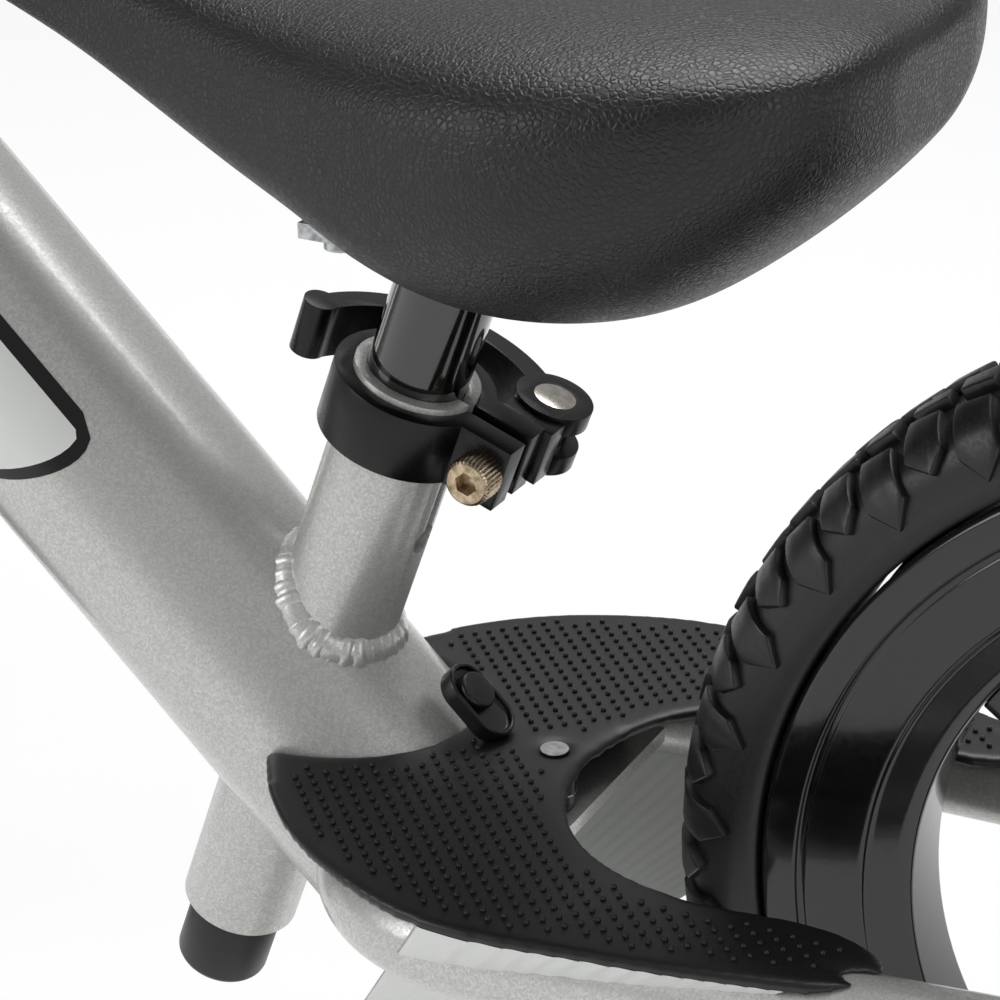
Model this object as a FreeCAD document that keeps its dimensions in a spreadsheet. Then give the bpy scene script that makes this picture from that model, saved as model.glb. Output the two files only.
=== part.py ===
import FreeCAD, Part
import math
import os
import re
import Sketcher

V = FreeCAD.Vector
DOC = FreeCAD.newDocument("balance_bike")

# Driving dimensions, in millimetres and degrees. X points forward, Y left, Z up.
# The origin is on the ground, midway between the two axles.
DIMENSIONS = {
    # wheels
    "wheelbase": 560, "tyre_radius": 150, "tyre_width": 44, "tread_width": 18,
    "bead_radius": 125, "rim_inset": 4, "rim_lip": 3.2, "rim_channel": 12.5,
    "rim_bore": 90, "rim_waist": 22, "tyre_seat_gap": 0.3,
    "spoke_count": 5, "spoke_width": 17, "spoke_thickness": 12,
    "hub_radius": 17, "hub_length": 60, "axle_radius": 5, "axle_stub": 7, "stub_step": 0.3,
    "bearing_radius": 11, "bearing_width": 6, "bearing_lip": 4,
    "fit_gap": 0.05, "face_gap": 0.1, "spacer_wall": 3.5,
    "nut_width": 15, "nut_height": 7,
    # frame tubes
    "main_radius": 32, "main_wall": 2.6, "crossing_gap": 110.6, "crossing_rise": 0.4,
    "seat_radius": 15.9, "seat_wall": 3.1, "seat_lean": 20, "seat_rise": 103.3,
    "seat_length": 178, "slot_width": 3.5, "slot_length": 42, "keyhole_radius": 4,
    "weld_size": 6,
    "head_lean": 22, "fork_rake": 20, "head_room": 8.3, "head_wall": 3,
    "head_length": 84, "head_margin": 10.3,
    "stay_radius": 11.5, "stay_wall": 2, "stay_bend": 48.8, "stay_drop": 20.5,
    "stay_back": 31.8, "stay_offset": 14, "stay_pitch": 4.1,
    "rear_width": 108, "dropout_thickness": 5, "dropout_radius": 15, "dropout_reach": 46,
    "bridge_thickness": 4, "bridge_length": 16, "bridge_lift": 6,
    # footrest
    "footrest_rise": 2.5, "footrest_thickness": 3, "footrest_skirt": 18.5,
    "footrest_wall": 3, "footrest_rim": 8, "boss_wall": 3, "boss_ridge": 9,
    "boss_start": 10, "skirt_reach": 155, "skirt_lift": 60,
    "plug_length": 22, "plug_width": 13, "plug_height": 3, "plug_sink": 2, "plug_drop": 30,
    "plug_wall": 1.2, "plug_floor": 1.5, "button_radius": 5.2, "button_height": 2.6,
    "button_lift": 2.5, "screw_radius": 3.6, "screw_shank": 2, "screw_back": 72.2,
    # quick-release clamps
    "collar_wall": 4.6, "collar_height": 17, "collar_drop": 1.5, "ear_length": 15,
    "ear_thickness": 7.2, "ear_gap": 3.5, "bolt_radius": 2.5, "bolt_head_radius": 6,
    "bolt_head_height": 8, "cup_thickness": 4.6, "cup_wing": 2.4, "cam_radius": 10,
    "pin_radius": 5.4, "lever_height": 17, "lever_thickness": 6.4, "lever_sweep": 122,
    "lever_slot": 7, "slot_turn": 50, "slot_sweep": 200, "soft_gap": 0.3,
    # seat
    "post_gap": 0.1, "post_wall": 2, "post_fit": 0.08, "post_depth": 181,
    "post_rise": 38, "post_plug": 20, "plate_length": 70, "plate_width": 34,
    "plate_thickness": 4, "cushion_drop": 19.8, "saddle_length": 275, "saddle_width": 150, "nose_width": 52,
    "saddle_depth": 68, "saddle_setback": 140, "base_length": 100, "base_width": 56,
    "base_thickness": 10,
    # steering
    "crown_gap": 5, "crown_height": 13, "crown_depth": 28, "leg_radius": 11,
    "leg_wall": 2, "leg_gap": 5, "fork_tab": 44, "cup_lip": 3, "cup_depth": 9,
    "cup_wall": 2, "steerer_radius": 12.7, "steerer_wall": 1.5, "steerer_top": 32,
    "cap_height": 5, "bar_post_depth": 90, "bar_post_wall": 2, "bar_rise": 118,
    "bar_radius": 11.1, "bar_wall": 2, "bar_width": 420, "grip_length": 105,
    "grip_radius": 14.5, "bumper_radius": 20, "bumper_length": 12, "pad_length": 150,
    "pad_radius": 22,
}


def make_sheet():
    sheet = DOC.addObject("Spreadsheet::Sheet", "Sizes")
    for row, (alias, value) in enumerate(DIMENSIONS.items(), start=1):
        sheet.set(f"A{row}", alias)
        sheet.set(f"B{row}", str(value))
        sheet.setAlias(f"B{row}", alias)
    DOC.recompute()
    return sheet


S = make_sheet()
PARTS = {}

# Sizes that follow from others, as sheet expressions and as numbers.
RIM_TEXT = "(tyre_width - 2 * rim_inset)"
RIM_WIDTH = S.tyre_width - 2 * S.rim_inset
HEAD_TEXT = "(steerer_radius + head_room)"
HEAD_RADIUS = S.steerer_radius + S.head_room
POST_TEXT = "(seat_radius - seat_wall - post_gap)"
POST_RADIUS = S.seat_radius - S.seat_wall - S.post_gap
RIDGE_SHARE = 0.63


# ---------------------------------------------------------------- helpers

def bind(item, prop, text):
    """Bind a property to the sheet; the text names the sheet's aliases."""
    named = re.sub(r"[a-z][a-z_]+", lambda m: "Sizes." + m[0] if m[0] in DIMENSIONS else m[0], text)
    item.setExpression(prop, named)


def keep(item, label):
    """Register a finished sub-part under its node name."""
    item.Label = label
    PARTS[label] = item
    return item


def turned_placement(origin, lean):
    """A frame at origin whose Z axis leans back from vertical by lean degrees."""
    return FreeCAD.Placement(origin, FreeCAD.Rotation(V(0, 1, 0), -lean))


def crosswise(x, y, z):
    """A frame whose Z axis lies along +Y, for wheels and axles."""
    return FreeCAD.Placement(V(x, y, z), FreeCAD.Rotation(V(1, 0, 0), -90))


def inside(frame, x, y, z, rotation=None):
    """A placement given in a tilted frame's own coordinates."""
    return frame.multiply(FreeCAD.Placement(V(x, y, z), rotation or FreeCAD.Rotation()))


def new_body(name, at):
    body = DOC.addObject("PartDesign::Body", name)
    body.Placement = at
    return body


def new_sketch(body, role):
    sketch = body.newObject("Sketcher::SketchObject", "Sketch")
    plane = next(item for item in body.Origin.OriginFeatures if item.Role == role)
    sketch.AttachmentSupport = [(plane, "")]
    sketch.MapMode = "FlatFace"
    return sketch


def place_vertex(sketch, edge, across, up):
    """Fix an edge's start point by two expressions, or on an axis where one is '0'."""
    for kind, axis, text in (("DistanceX", -2, across), ("DistanceY", -1, up)):
        if text == "0":
            sketch.addConstraint(Sketcher.Constraint("PointOnObject", edge, 1, axis))
            continue
        index = sketch.addConstraint(Sketcher.Constraint(kind, -1, 1, edge, 1, 1.0 + edge))
        sketch.renameConstraint(index, f"{kind}{edge}")
        bind(sketch, f"Constraints.{kind}{edge}", text)


def outline(sketch, points):
    """A closed polygon whose vertices are bound to the sheet."""
    count = len(points)
    around = [V(10 + 5 * math.cos(math.tau * i / count), 10 + 5 * math.sin(math.tau * i / count), 0)
              for i in range(count)]
    for i in range(count):
        sketch.addGeometry(Part.LineSegment(around[i], around[(i + 1) % count]))
    for i in range(count):
        sketch.addConstraint(Sketcher.Constraint("Coincident", i, 2, (i + 1) % count, 1))
    for i, (across, up) in enumerate(points):
        place_vertex(sketch, i, across, up)


def turned(name, points, at):
    """A solid of revolution about local Z from (radius, height) expressions."""
    body = new_body(name, at)
    sketch = new_sketch(body, "XZ_Plane")
    outline(sketch, points)
    turn = body.newObject("PartDesign::Revolution", "Turn")
    turn.Profile = sketch
    turn.ReferenceAxis = (sketch, ["V_Axis"])
    turn.Angle = 360
    return body


def drawn_tube(name, outer, inner, length, at):
    """A straight tube along local Z; inner '0' makes a rod."""
    body = new_body(name, at)
    sketch = new_sketch(body, "XY_Plane")
    for radius in [outer] + ([inner] if inner != "0" else []):
        edge = sketch.addGeometry(Part.Circle(V(0, 0, 0), V(0, 0, 1), 5.0 + sketch.GeometryCount))
        sketch.addConstraint(Sketcher.Constraint("Coincident", edge, 3, -1, 1))
        index = sketch.addConstraint(Sketcher.Constraint("Radius", edge, 5.0 + edge))
        sketch.renameConstraint(index, f"Radius{edge}")
        bind(sketch, f"Constraints.Radius{edge}", radius)
    pad = body.newObject("PartDesign::Pad", "Pad")
    pad.Profile = sketch
    bind(pad, "Length", length)
    return body


def primitive(kind, name, sizes, at):
    item = DOC.addObject("Part::" + kind, name)
    for prop, text in sizes.items():
        bind(item, prop, text)
    item.Placement = at
    return item


def box(name, length, width, height, at):
    return primitive("Box", name, {"Length": length, "Width": width, "Height": height}, at)


def cylinder(name, radius, height, at, angle="360"):
    return primitive("Cylinder", name, {"Radius": radius, "Height": height, "Angle": angle}, at)


def cut(base, *tools):
    for tool in tools:
        item = DOC.addObject("Part::Cut", base.Name + "_cut")
        item.Base = base
        item.Tool = tool
        base = item
    return base


def fuse(*items):
    item = DOC.addObject("Part::MultiFuse", items[0].Name + "_joined")
    item.Shapes = list(items)
    item.Refine = True
    return item


def common(*items):
    item = DOC.addObject("Part::MultiCommon", items[0].Name + "_common")
    item.Shapes = list(items)
    return item


def group(*items):
    item = DOC.addObject("Part::Compound", items[0].Name + "_group")
    item.Links = list(items)
    return item


def mirrored(item):
    """The right-hand twin of a left-hand piece."""
    twin = DOC.addObject("Part::Mirroring", item.Name + "_twin")
    twin.Source = item
    twin.Normal = V(0, 1, 0)
    return twin


def mirror_shape(shape):
    return shape.mirror(V(0, 0, 0), V(0, 1, 0))


def shaped(name, shape):
    """A piece whose free-form shape is worked out with Part's own functions."""
    item = DOC.addObject("Part::Feature", name)
    item.Shape = shape
    return item


# ---------------------------------------------------------------- main points

REAR = V(-S.wheelbase / 2, 0, S.tyre_radius)
FRONT = V(S.wheelbase / 2, 0, S.tyre_radius)

# The seat tube's axis crosses the main tube's axis a fixed way ahead of the rear tyre.
CROSSING = V(REAR.x + S.tyre_radius + S.crossing_gap, 0, REAR.z + S.crossing_rise)
SEAT_UP = V(-math.sin(math.radians(S.seat_lean)), 0, math.cos(math.radians(S.seat_lean)))
SEAT_TOP = CROSSING + SEAT_UP * S.seat_rise
SEAT = turned_placement(SEAT_TOP, S.seat_lean)

# The steering axis passes the front axle at the fork's rake.
HEAD_UP = V(-math.sin(math.radians(S.head_lean)), 0, math.cos(math.radians(S.head_lean)))
AXLE_FOOT = FRONT - V(HEAD_UP.z, 0, -HEAD_UP.x) * S.fork_rake
CROWN_BOTTOM = S.tyre_radius + S.crown_gap
HEAD_BOTTOM = CROWN_BOTTOM + S.crown_height + S.face_gap + S.cup_lip
STEER = turned_placement(AXLE_FOOT, S.head_lean)

# The main tube runs from the crossing to the middle of the head tube's joint.
JOINT = AXLE_FOOT + HEAD_UP * (HEAD_BOTTOM + S.main_radius + S.head_margin)
MAIN_RUN = JOINT - CROSSING
MAIN_LENGTH = MAIN_RUN.Length
MAIN_SLOPE = math.degrees(math.atan2(MAIN_RUN.z, MAIN_RUN.x))
MAIN = turned_placement(CROSSING, MAIN_SLOPE - 90)

FOOTREST_TOP = REAR.z + S.footrest_rise
LEG_Y = S.tyre_width / 2 + S.leg_gap + S.leg_radius
BRIDGE_TOP = CROSSING.z - S.stay_drop + S.bridge_lift
SCREW_X = CROSSING.x - S.screw_back


# ---------------------------------------------------------------- wheels

def make_wheel(side, axle):
    """Tyre, rim with its spokes and hub, and the two bearings, turned about the axle."""
    half = "tyre_width / 2"
    edge = "rim_inset"
    seat = "bead_radius - rim_channel + tyre_seat_gap"
    inner = edge + " + rim_lip + tyre_seat_gap"
    tread = "(tyre_width - tread_width) / 2"
    near = [(seat, inner), ("bead_radius + tyre_seat_gap", inner),
            ("bead_radius + tyre_seat_gap", edge + " - 1"), ("bead_radius + 4", edge + " / 3"),
            ("bead_radius + 9", "0"), ("tyre_radius - 8", "tyre_width / 24"),
            ("tyre_radius - 3", tread + " / 2"), ("tyre_radius", tread)]
    far = [(radius, f"tyre_width - ({height})") for radius, height in reversed(near)]
    at = crosswise(axle.x, -S.tyre_width / 2, axle.z)
    keep(turned(side + "_tyre_solid", near + far, at), side + "_tyre")

    waist = f"({RIM_TEXT} - rim_waist) / 2"
    channel = "bead_radius - rim_channel"
    near = [("rim_bore", waist), ("rim_bore + 5", waist + " - 1.5"),
            ("rim_bore + 12", waist + " - 2"), (channel + " - 5", "0.5"),
            ("bead_radius", "0"), ("bead_radius", "rim_lip"), (channel, "rim_lip")]
    far = [(radius, f"{RIM_TEXT} - ({height})") for radius, height in reversed(near)]
    at = crosswise(axle.x, -RIM_WIDTH / 2, axle.z)
    keep(turned(side + "_rim_ring", near + far, at), side + "_rim")
    pocket = "bearing_width + fit_gap"
    hub = turned(side + "_hub_shell", [
        ("bearing_radius + fit_gap", "0"), ("hub_radius", "0"), ("hub_radius", "hub_length"),
        ("bearing_radius + fit_gap", "hub_length"),
        ("bearing_radius + fit_gap", f"hub_length - ({pocket})"),
        ("bearing_radius - bearing_lip / 2", f"hub_length - ({pocket})"),
        ("bearing_radius - bearing_lip / 2", pocket),
        ("bearing_radius + fit_gap", pocket)],
        crosswise(axle.x, -S.hub_length / 2, axle.z))
    keep(hub, side + "_hub")
    make_spokes(side, axle)

    bearings = []
    for start in (-S.hub_length / 2, S.hub_length / 2 - S.bearing_width):
        bearings.append(drawn_tube(side + "_bearing", "bearing_radius", "axle_radius + fit_gap",
                                   "bearing_width", crosswise(axle.x, start, axle.z)))
    keep(group(*bearings), side + "_hub_bearings")


def make_spokes(side, axle):
    """Flat spokes from the hub to the rim, none of them pointing straight ahead."""
    spokes = []
    overlap = 2
    for index in range(int(S.spoke_count)):
        turn = FreeCAD.Rotation(V(0, 1, 0), 360 * (index + 0.5) / S.spoke_count)
        hub_frame = FreeCAD.Placement(axle, turn)
        at = inside(hub_frame, S.hub_radius - overlap, -S.spoke_thickness / 2, -S.spoke_width / 2)
        spokes.append(box(f"{side}_spoke_{index}", f"rim_bore - hub_radius + 2 * {overlap}",
                          "spoke_thickness", "spoke_width", at))
    at = crosswise(axle.x, -S.hub_length / 2, axle.z)
    within = cylinder(side + "_spoke_reach", "rim_bore", "hub_length", at)
    core = cylinder(side + "_spoke_root", "hub_radius", "hub_length", at)
    keep(cut(common(group(*spokes), within), core), side + "_spokes")


def make_axle(side, axle, half_width, half_text):
    """The fixed axle, its spacers against the bearings and its nuts outside the dropouts."""
    length = f"(2 * ({half_text} + dropout_thickness + nut_height + axle_stub))"
    reach = half_width + S.dropout_thickness + S.nut_height + S.axle_stub
    stub = "axle_radius - stub_step"
    rod = turned(side + "_axle_rod", [
        ("0", "0"), (stub, "0"), (stub, "axle_stub"), ("axle_radius", "axle_stub"),
        ("axle_radius", length + " - axle_stub"), (stub, length + " - axle_stub"),
        (stub, length), ("0", length)], crosswise(axle.x, -reach, axle.z))
    keep(rod, side + "_axle")
    spacers, nuts = [], []
    length = half_width - S.hub_length / 2 - S.face_gap
    nut_at = half_width + S.dropout_thickness
    for start, nut_start in ((-half_width, -nut_at - S.nut_height),
                             (half_width - length, nut_at)):
        spacers.append(drawn_tube(side + "_spacer", "axle_radius + spacer_wall",
                                  "axle_radius + fit_gap",
                                  f"{half_text} - hub_length / 2 - face_gap",
                                  crosswise(axle.x, start, axle.z)))
        at = crosswise(axle.x, nut_start, axle.z)
        prism = primitive("Prism", side + "_nut",
                          {"Circumradius": "nut_width / sqrt(3)", "Height": "nut_height"}, at)
        prism.Polygon = 6
        hole = cylinder(side + "_nut_hole", "axle_radius + fit_gap", "nut_height", at)
        nuts.append(cut(prism, hole))
    keep(group(*spacers), side + "_spacers")
    keep(group(*nuts), side + "_axle_nuts")


# ---------------------------------------------------------------- frame

def main_outer(extra, name, start=-200, length=600):
    """A plain cylinder along the main tube, for cutting what meets it."""
    return cylinder(name, "main_radius" + extra, str(length), inside(MAIN, 0, 0, start))


def seat_outer(extra, name):
    at = inside(SEAT, 0, 0, -S.seat_length)
    return cylinder(name, "seat_radius" + extra, "seat_length", at)


def make_main_tube():
    start = S.main_radius + S.boss_start
    length = MAIN_LENGTH + start
    pipe = drawn_tube("main_pipe", "main_radius", "main_radius - main_wall", str(length),
                      inside(MAIN, 0, 0, -start))
    head_hole = cylinder("main_head_hole", HEAD_TEXT, "head_length * 2",
                         inside(STEER, 0, 0, HEAD_BOTTOM - S.head_length / 2))
    lip_room = cylinder("main_lip_room", HEAD_TEXT + " + 2 + face_gap", "cup_lip + 6",
                        inside(STEER, 0, 0, HEAD_BOTTOM - S.cup_lip - 6))
    keep(cut(pipe, seat_outer("", "main_seat_hole"), head_hole, lip_room), "main_tube")


def make_seat_tube():
    """The seat tube passes through the main tube; its rear slot ends in a round keyhole."""
    pipe = drawn_tube("seat_pipe", "seat_radius", "seat_radius - seat_wall", "seat_length",
                      inside(SEAT, 0, 0, -S.seat_length))
    slot = box("seat_slot", "seat_radius", "slot_width", "slot_length",
               inside(SEAT, -S.seat_radius - 1, -S.slot_width / 2, -S.slot_length))
    turn = FreeCAD.Rotation(V(0, 1, 0), -90)
    hole = cylinder("seat_keyhole", "keyhole_radius", "seat_radius",
                    inside(SEAT, -1, 0, -S.slot_length, turn))
    keep(cut(pipe, slot, hole), "seat_tube")


def make_weld():
    """The bead that fills the corner between the seat tube and the main tube."""
    band = common(seat_outer(" + weld_size", "weld_around"), main_outer(" + weld_size * 0.7", "weld_over"))
    rear = box("weld_clear", "300", "300", "300", inside(MAIN, -150, -150, -300 - S.boss_start - 12))
    keep(cut(band, seat_outer("", "weld_seat"), main_outer("", "weld_main"), rear), "seat_weld")


def make_head_tube():
    at = inside(STEER, 0, 0, HEAD_BOTTOM)
    keep(drawn_tube("head_pipe", HEAD_TEXT, HEAD_TEXT + " - head_wall", "head_length", at),
         "head_tube")


def stay_frame():
    """The stays bend in a plane that rises gently towards the rear axle."""
    start = V(CROSSING.x - S.stay_back, S.stay_offset, CROSSING.z - S.stay_drop)
    return FreeCAD.Placement(start, FreeCAD.Rotation(V(0, 1, 0), S.stay_pitch))


def stay_turn(at):
    """The bend's angle whose tangent meets the middle of the dropout plate."""
    ahead = REAR.x + S.dropout_reach / 2 - at.Base.x + S.stay_bend
    aside = S.rear_width / 2 - S.stay_offset
    distance = math.hypot(ahead, aside)
    return math.atan2(aside, ahead) - math.acos(S.stay_bend / distance)


def stay_pipe(name, radii):
    """Left stay: a quarter bend out of the main tube, then straight back to the dropout."""
    at = stay_frame()
    body = new_body(name, at)
    spine = new_sketch(body, "XY_Plane")
    turn = stay_turn(at)
    end = V(-S.stay_bend + S.stay_bend * math.cos(turn), S.stay_bend * math.sin(turn), 0)
    run = at.Base.x + end.x - (REAR.x + S.dropout_reach / 2)
    tail = end + V(-run, -run * math.tan(turn - math.pi / 2), 0)
    arc = Part.ArcOfCircle(Part.Circle(V(-S.stay_bend, 0, 0), V(0, 0, 1), S.stay_bend), 0, turn)
    spine.addGeometry(arc)
    spine.addGeometry(Part.LineSegment(end, tail))
    spine.addConstraint(Sketcher.Constraint("Coincident", 0, 2, 1, 1))
    spine.addConstraint(Sketcher.Constraint("Coincident", 0, 1, -1, 1))
    spine.addConstraint(Sketcher.Constraint("PointOnObject", 0, 3, -1))
    index = spine.addConstraint(Sketcher.Constraint("Radius", 0, S.stay_bend))
    spine.renameConstraint(index, "Bend")
    bind(spine, "Constraints.Bend", "stay_bend")
    section = new_sketch(body, "XZ_Plane")
    for edge, radius in enumerate(radii):
        section.addGeometry(Part.Circle(V(0, 0, 0), V(0, 0, 1), 5.0 + edge))
        section.addConstraint(Sketcher.Constraint("Coincident", edge, 3, -1, 1))
        index = section.addConstraint(Sketcher.Constraint("Radius", edge, 5.0 + edge))
        section.renameConstraint(index, f"Radius{edge}")
        bind(section, f"Constraints.Radius{edge}", radius)
    pipe = body.newObject("PartDesign::AdditivePipe", "Pipe")
    pipe.Profile = section
    pipe.Spine = (spine, ["Edge1", "Edge2"])
    return body


def dropout_plate(name, half_width, axle, lean, reach):
    """An axle plate: round at the axle, running up into the slotted end of its tube."""
    frame = turned_placement(axle, lean)
    turn = FreeCAD.Rotation(V(1, 0, 0), -90)
    eye = cylinder(name + "_eye", "dropout_radius", "dropout_thickness",
                   inside(frame, 0, half_width, 0, turn))
    arm = box(name + "_arm", "dropout_radius * 1.2", "dropout_thickness", reach,
              inside(frame, -S.dropout_radius * 0.6, half_width, 0))
    hole = cylinder(name + "_hole", "axle_radius + fit_gap", "dropout_thickness",
                    inside(frame, 0, half_width, 0, turn))
    return cut(fuse(eye, arm), hole)


def make_rear_end():
    """Both stays, cut around their dropout plates and against the main tube."""
    inner = S.rear_width / 2 - S.dropout_thickness / 2
    lean = -(90 + S.stay_pitch + 2)
    plate = dropout_plate("rear_dropout", inner, REAR, lean, "dropout_reach")
    keep(plate, "left_rear_dropout")
    keep(mirrored(plate), "right_rear_dropout")
    body_core = main_outer("", "stay_core")
    pipe = stay_pipe("stay_bent", ["stay_radius", "stay_radius - stay_wall"])
    stay = cut(pipe, body_core, plate)
    keep(stay, "left_stay")
    keep(mirrored(stay), "right_stay")


def make_bridge():
    """A flat gusset between the stays that the footrest's screw enters."""
    at = V(SCREW_X - S.bridge_length / 2, -S.stay_bend, BRIDGE_TOP - S.bridge_thickness)
    plate = box("bridge_plate", "bridge_length", "stay_bend * 2", "bridge_thickness",
                FreeCAD.Placement(at, FreeCAD.Rotation()))
    core = stay_pipe("bridge_stay", ["stay_radius"])
    at = FreeCAD.Placement(V(SCREW_X, 0, BRIDGE_TOP - S.bridge_thickness), FreeCAD.Rotation())
    hole = cylinder("bridge_hole", "screw_shank + fit_gap", "bridge_thickness", at)
    keep(cut(plate, core, mirrored(core), main_outer("", "bridge_main"), hole), "stay_bridge")


# ---------------------------------------------------------------- footrest

def footrest_points():
    """Half of the horseshoe's edge, from its front round the tip to the wheel opening."""
    half = [(6, 30), (14, 43), (34, 63), (58, 76), (83, 82), (111, 78.5), (141, 72.5), (164, 66.5),
            (177, 59.5), (179.5, 52), (170, 44.5), (151, 43.5), (133, 46), (118, 45), (103, 39.5),
            (91, 29), (84, 15)]
    left = [V(CROSSING.x - back, side, 0) for back, side in half]
    middle = [V(CROSSING.x - 81.5, 0, 0)]
    right = [V(p.x, -p.y, 0) for p in reversed(left)]
    return left + middle + right + [V(CROSSING.x - 4, 0, 0)]


def closed_spline(points):
    curve = Part.BSplineCurve()
    curve.interpolate(Points=points, PeriodicFlag=True)
    return curve


def inset_points(points, wall):
    """The same edge moved inwards by the wall."""
    curve = closed_spline(points)
    moved = []
    for point in points:
        along = curve.tangent(curve.parameter(point))[0]
        moved.append(point + V(along.y, -along.x, 0) * wall)
    return moved


def slab(wire, bottom, top):
    face = Part.Face(wire)
    face.translate(V(0, 0, bottom))
    return face.extrude(V(0, 0, top - bottom))


def boss_section():
    """The boss hugs the main tube and rises to a narrower ridge at the back."""
    big = S.main_radius + S.boss_wall
    small = big * RIDGE_SHARE
    shift = S.main_radius + S.boss_ridge - small
    angle = math.acos((big - small) / shift)
    corners = []
    for side in (1, -1):
        direction = V(-math.cos(angle), side * math.sin(angle), 0)
        pair = [direction * big, direction * small + V(-shift, 0, 0)]
        corners += pair if side == 1 else pair[::-1]
    length = S.main_radius * 5
    sides = Part.Face(Part.makePolygon(corners + corners[:1])).extrude(V(0, 0, length))
    shape = Part.makeCylinder(big, length).fuse([
        Part.makeCylinder(small, length, V(-shift, 0, 0)), sides])
    shape.translate(V(0, 0, -length))
    return shape


def make_footrest():
    """A moulded horseshoe tread with a skirt, and a boss that wraps the main tube's foot."""
    points = footrest_points()
    outer = closed_spline(points).toShape()
    inner = closed_spline(inset_points(points, S.footrest_wall)).toShape()
    outer, inner = Part.Wire([outer]), Part.Wire([inner])
    bottom = FOOTREST_TOP - S.footrest_skirt
    under = FOOTREST_TOP - S.footrest_thickness
    shell = slab(outer, bottom, FOOTREST_TOP).cut(slab(inner, bottom, under))

    # the edge round the wheel opening and the skirt's rear ends are shallower
    rim = FOOTREST_TOP - S.footrest_rim
    end = CROSSING.x - S.skirt_reach - S.skirt_lift
    back = Part.makeBox(S.skirt_lift, 400, rim - bottom, V(end, -200, bottom))
    deep = inset_points(points, S.footrest_wall + 0.5)
    inner_edge = deep[10:25]
    behind = end - 25
    window = Part.makePolygon(inner_edge + [V(behind, -40, 0), V(behind, 40, 0)] + inner_edge[:1])
    shell = shell.cut([back, slab(window, bottom, rim)])

    boss = boss_section()
    boss.Placement = MAIN
    tilt = math.degrees(math.atan2(S.boss_start, S.main_radius))
    trim = Part.makeBox(300, 300, 300, V(-150, -150, 0))
    trim.Placement = MAIN.multiply(FreeCAD.Placement(V(), FreeCAD.Rotation(V(0, 1, 0), -tilt)))
    boss = boss.cut(trim).common(slab(outer, under, FOOTREST_TOP + 100))
    pillar = Part.makeCylinder(S.screw_radius + 2, under - BRIDGE_TOP + 1, V(SCREW_X, 0, BRIDGE_TOP))
    shell = shell.fuse([boss, pillar])

    holes = [Part.makeCylinder(S.screw_shank + S.fit_gap, 60, V(SCREW_X, 0, bottom - 20)),
             Part.makeCone(S.screw_shank, S.screw_radius + S.fit_gap, S.screw_radius,
                           V(SCREW_X, 0, FOOTREST_TOP - S.screw_radius))]
    tube = Part.makeCylinder(S.main_radius + S.face_gap, 600, V(0, 0, -300))
    tube.Placement = MAIN
    return shell.cut(holes + [tube])


def stadium(length, width, height, at):
    """A flat bar with round ends, centred on the local origin and rising along Z."""
    run = length - width
    shape = Part.makeBox(width, run, height, V(-width / 2, -run / 2, 0))
    ends = [Part.makeCylinder(width / 2, height, V(0, side * run / 2, 0)) for side in (-1, 1)]
    shape = shape.fuse(ends).removeSplitter()
    shape.Placement = at
    return shape


def make_footrest_group():
    ridge = S.main_radius + S.boss_ridge
    turn = FreeCAD.Rotation(V(0, 1, 0), V(0, 0, 1), V(-1, 0, 0))
    seat = inside(MAIN, S.plug_sink - ridge, 0, -S.plug_drop, turn)
    plug_height = S.plug_height + S.plug_sink
    plug = stadium(S.plug_length, S.plug_width, plug_height, seat)
    pocket_at = seat.multiply(FreeCAD.Placement(V(0, 0, plug_height - S.plug_floor), FreeCAD.Rotation()))
    pocket = stadium(S.plug_length - 2 * S.plug_wall, S.plug_width - 2 * S.plug_wall, 2, pocket_at)
    around = stadium(S.plug_length + 2 * S.fit_gap, S.plug_width + 2 * S.fit_gap, plug_height, seat)
    core = stay_pipe("footrest_stay", ["stay_radius + soft_gap"])
    DOC.recompute()
    shell = make_footrest().cut([around, core.Shape, mirror_shape(core.Shape),
                                PARTS["seat_weld"].Shape])
    shell = max(shell.Solids, key=lambda solid: solid.Volume)
    keep(shaped("footrest_shell", shell), "footrest_plate")
    keep(shaped("footrest_plug_ring", plug.cut(pocket)), "footrest_plug")
    button_at = inside(MAIN, S.plug_sink - ridge - plug_height + S.plug_floor, 0,
                       S.button_lift - S.plug_drop, turn)
    keep(cylinder("button_disc", "button_radius", "button_height", button_at), "footrest_button")
    head = primitive("Cone", "screw_head", {"Radius1": "screw_shank", "Radius2": "screw_radius",
                                            "Height": "screw_radius"},
                     FreeCAD.Placement(V(SCREW_X, 0, FOOTREST_TOP - S.screw_radius),
                                       FreeCAD.Rotation()))
    length = FOOTREST_TOP - S.screw_radius - BRIDGE_TOP + S.bridge_thickness
    shank = cylinder("screw_stem", "screw_shank", str(length),
                     FreeCAD.Placement(V(SCREW_X, 0, BRIDGE_TOP - S.bridge_thickness),
                                       FreeCAD.Rotation()))
    keep(fuse(head, shank), "footrest_screw")


# ---------------------------------------------------------------- clamps

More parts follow.
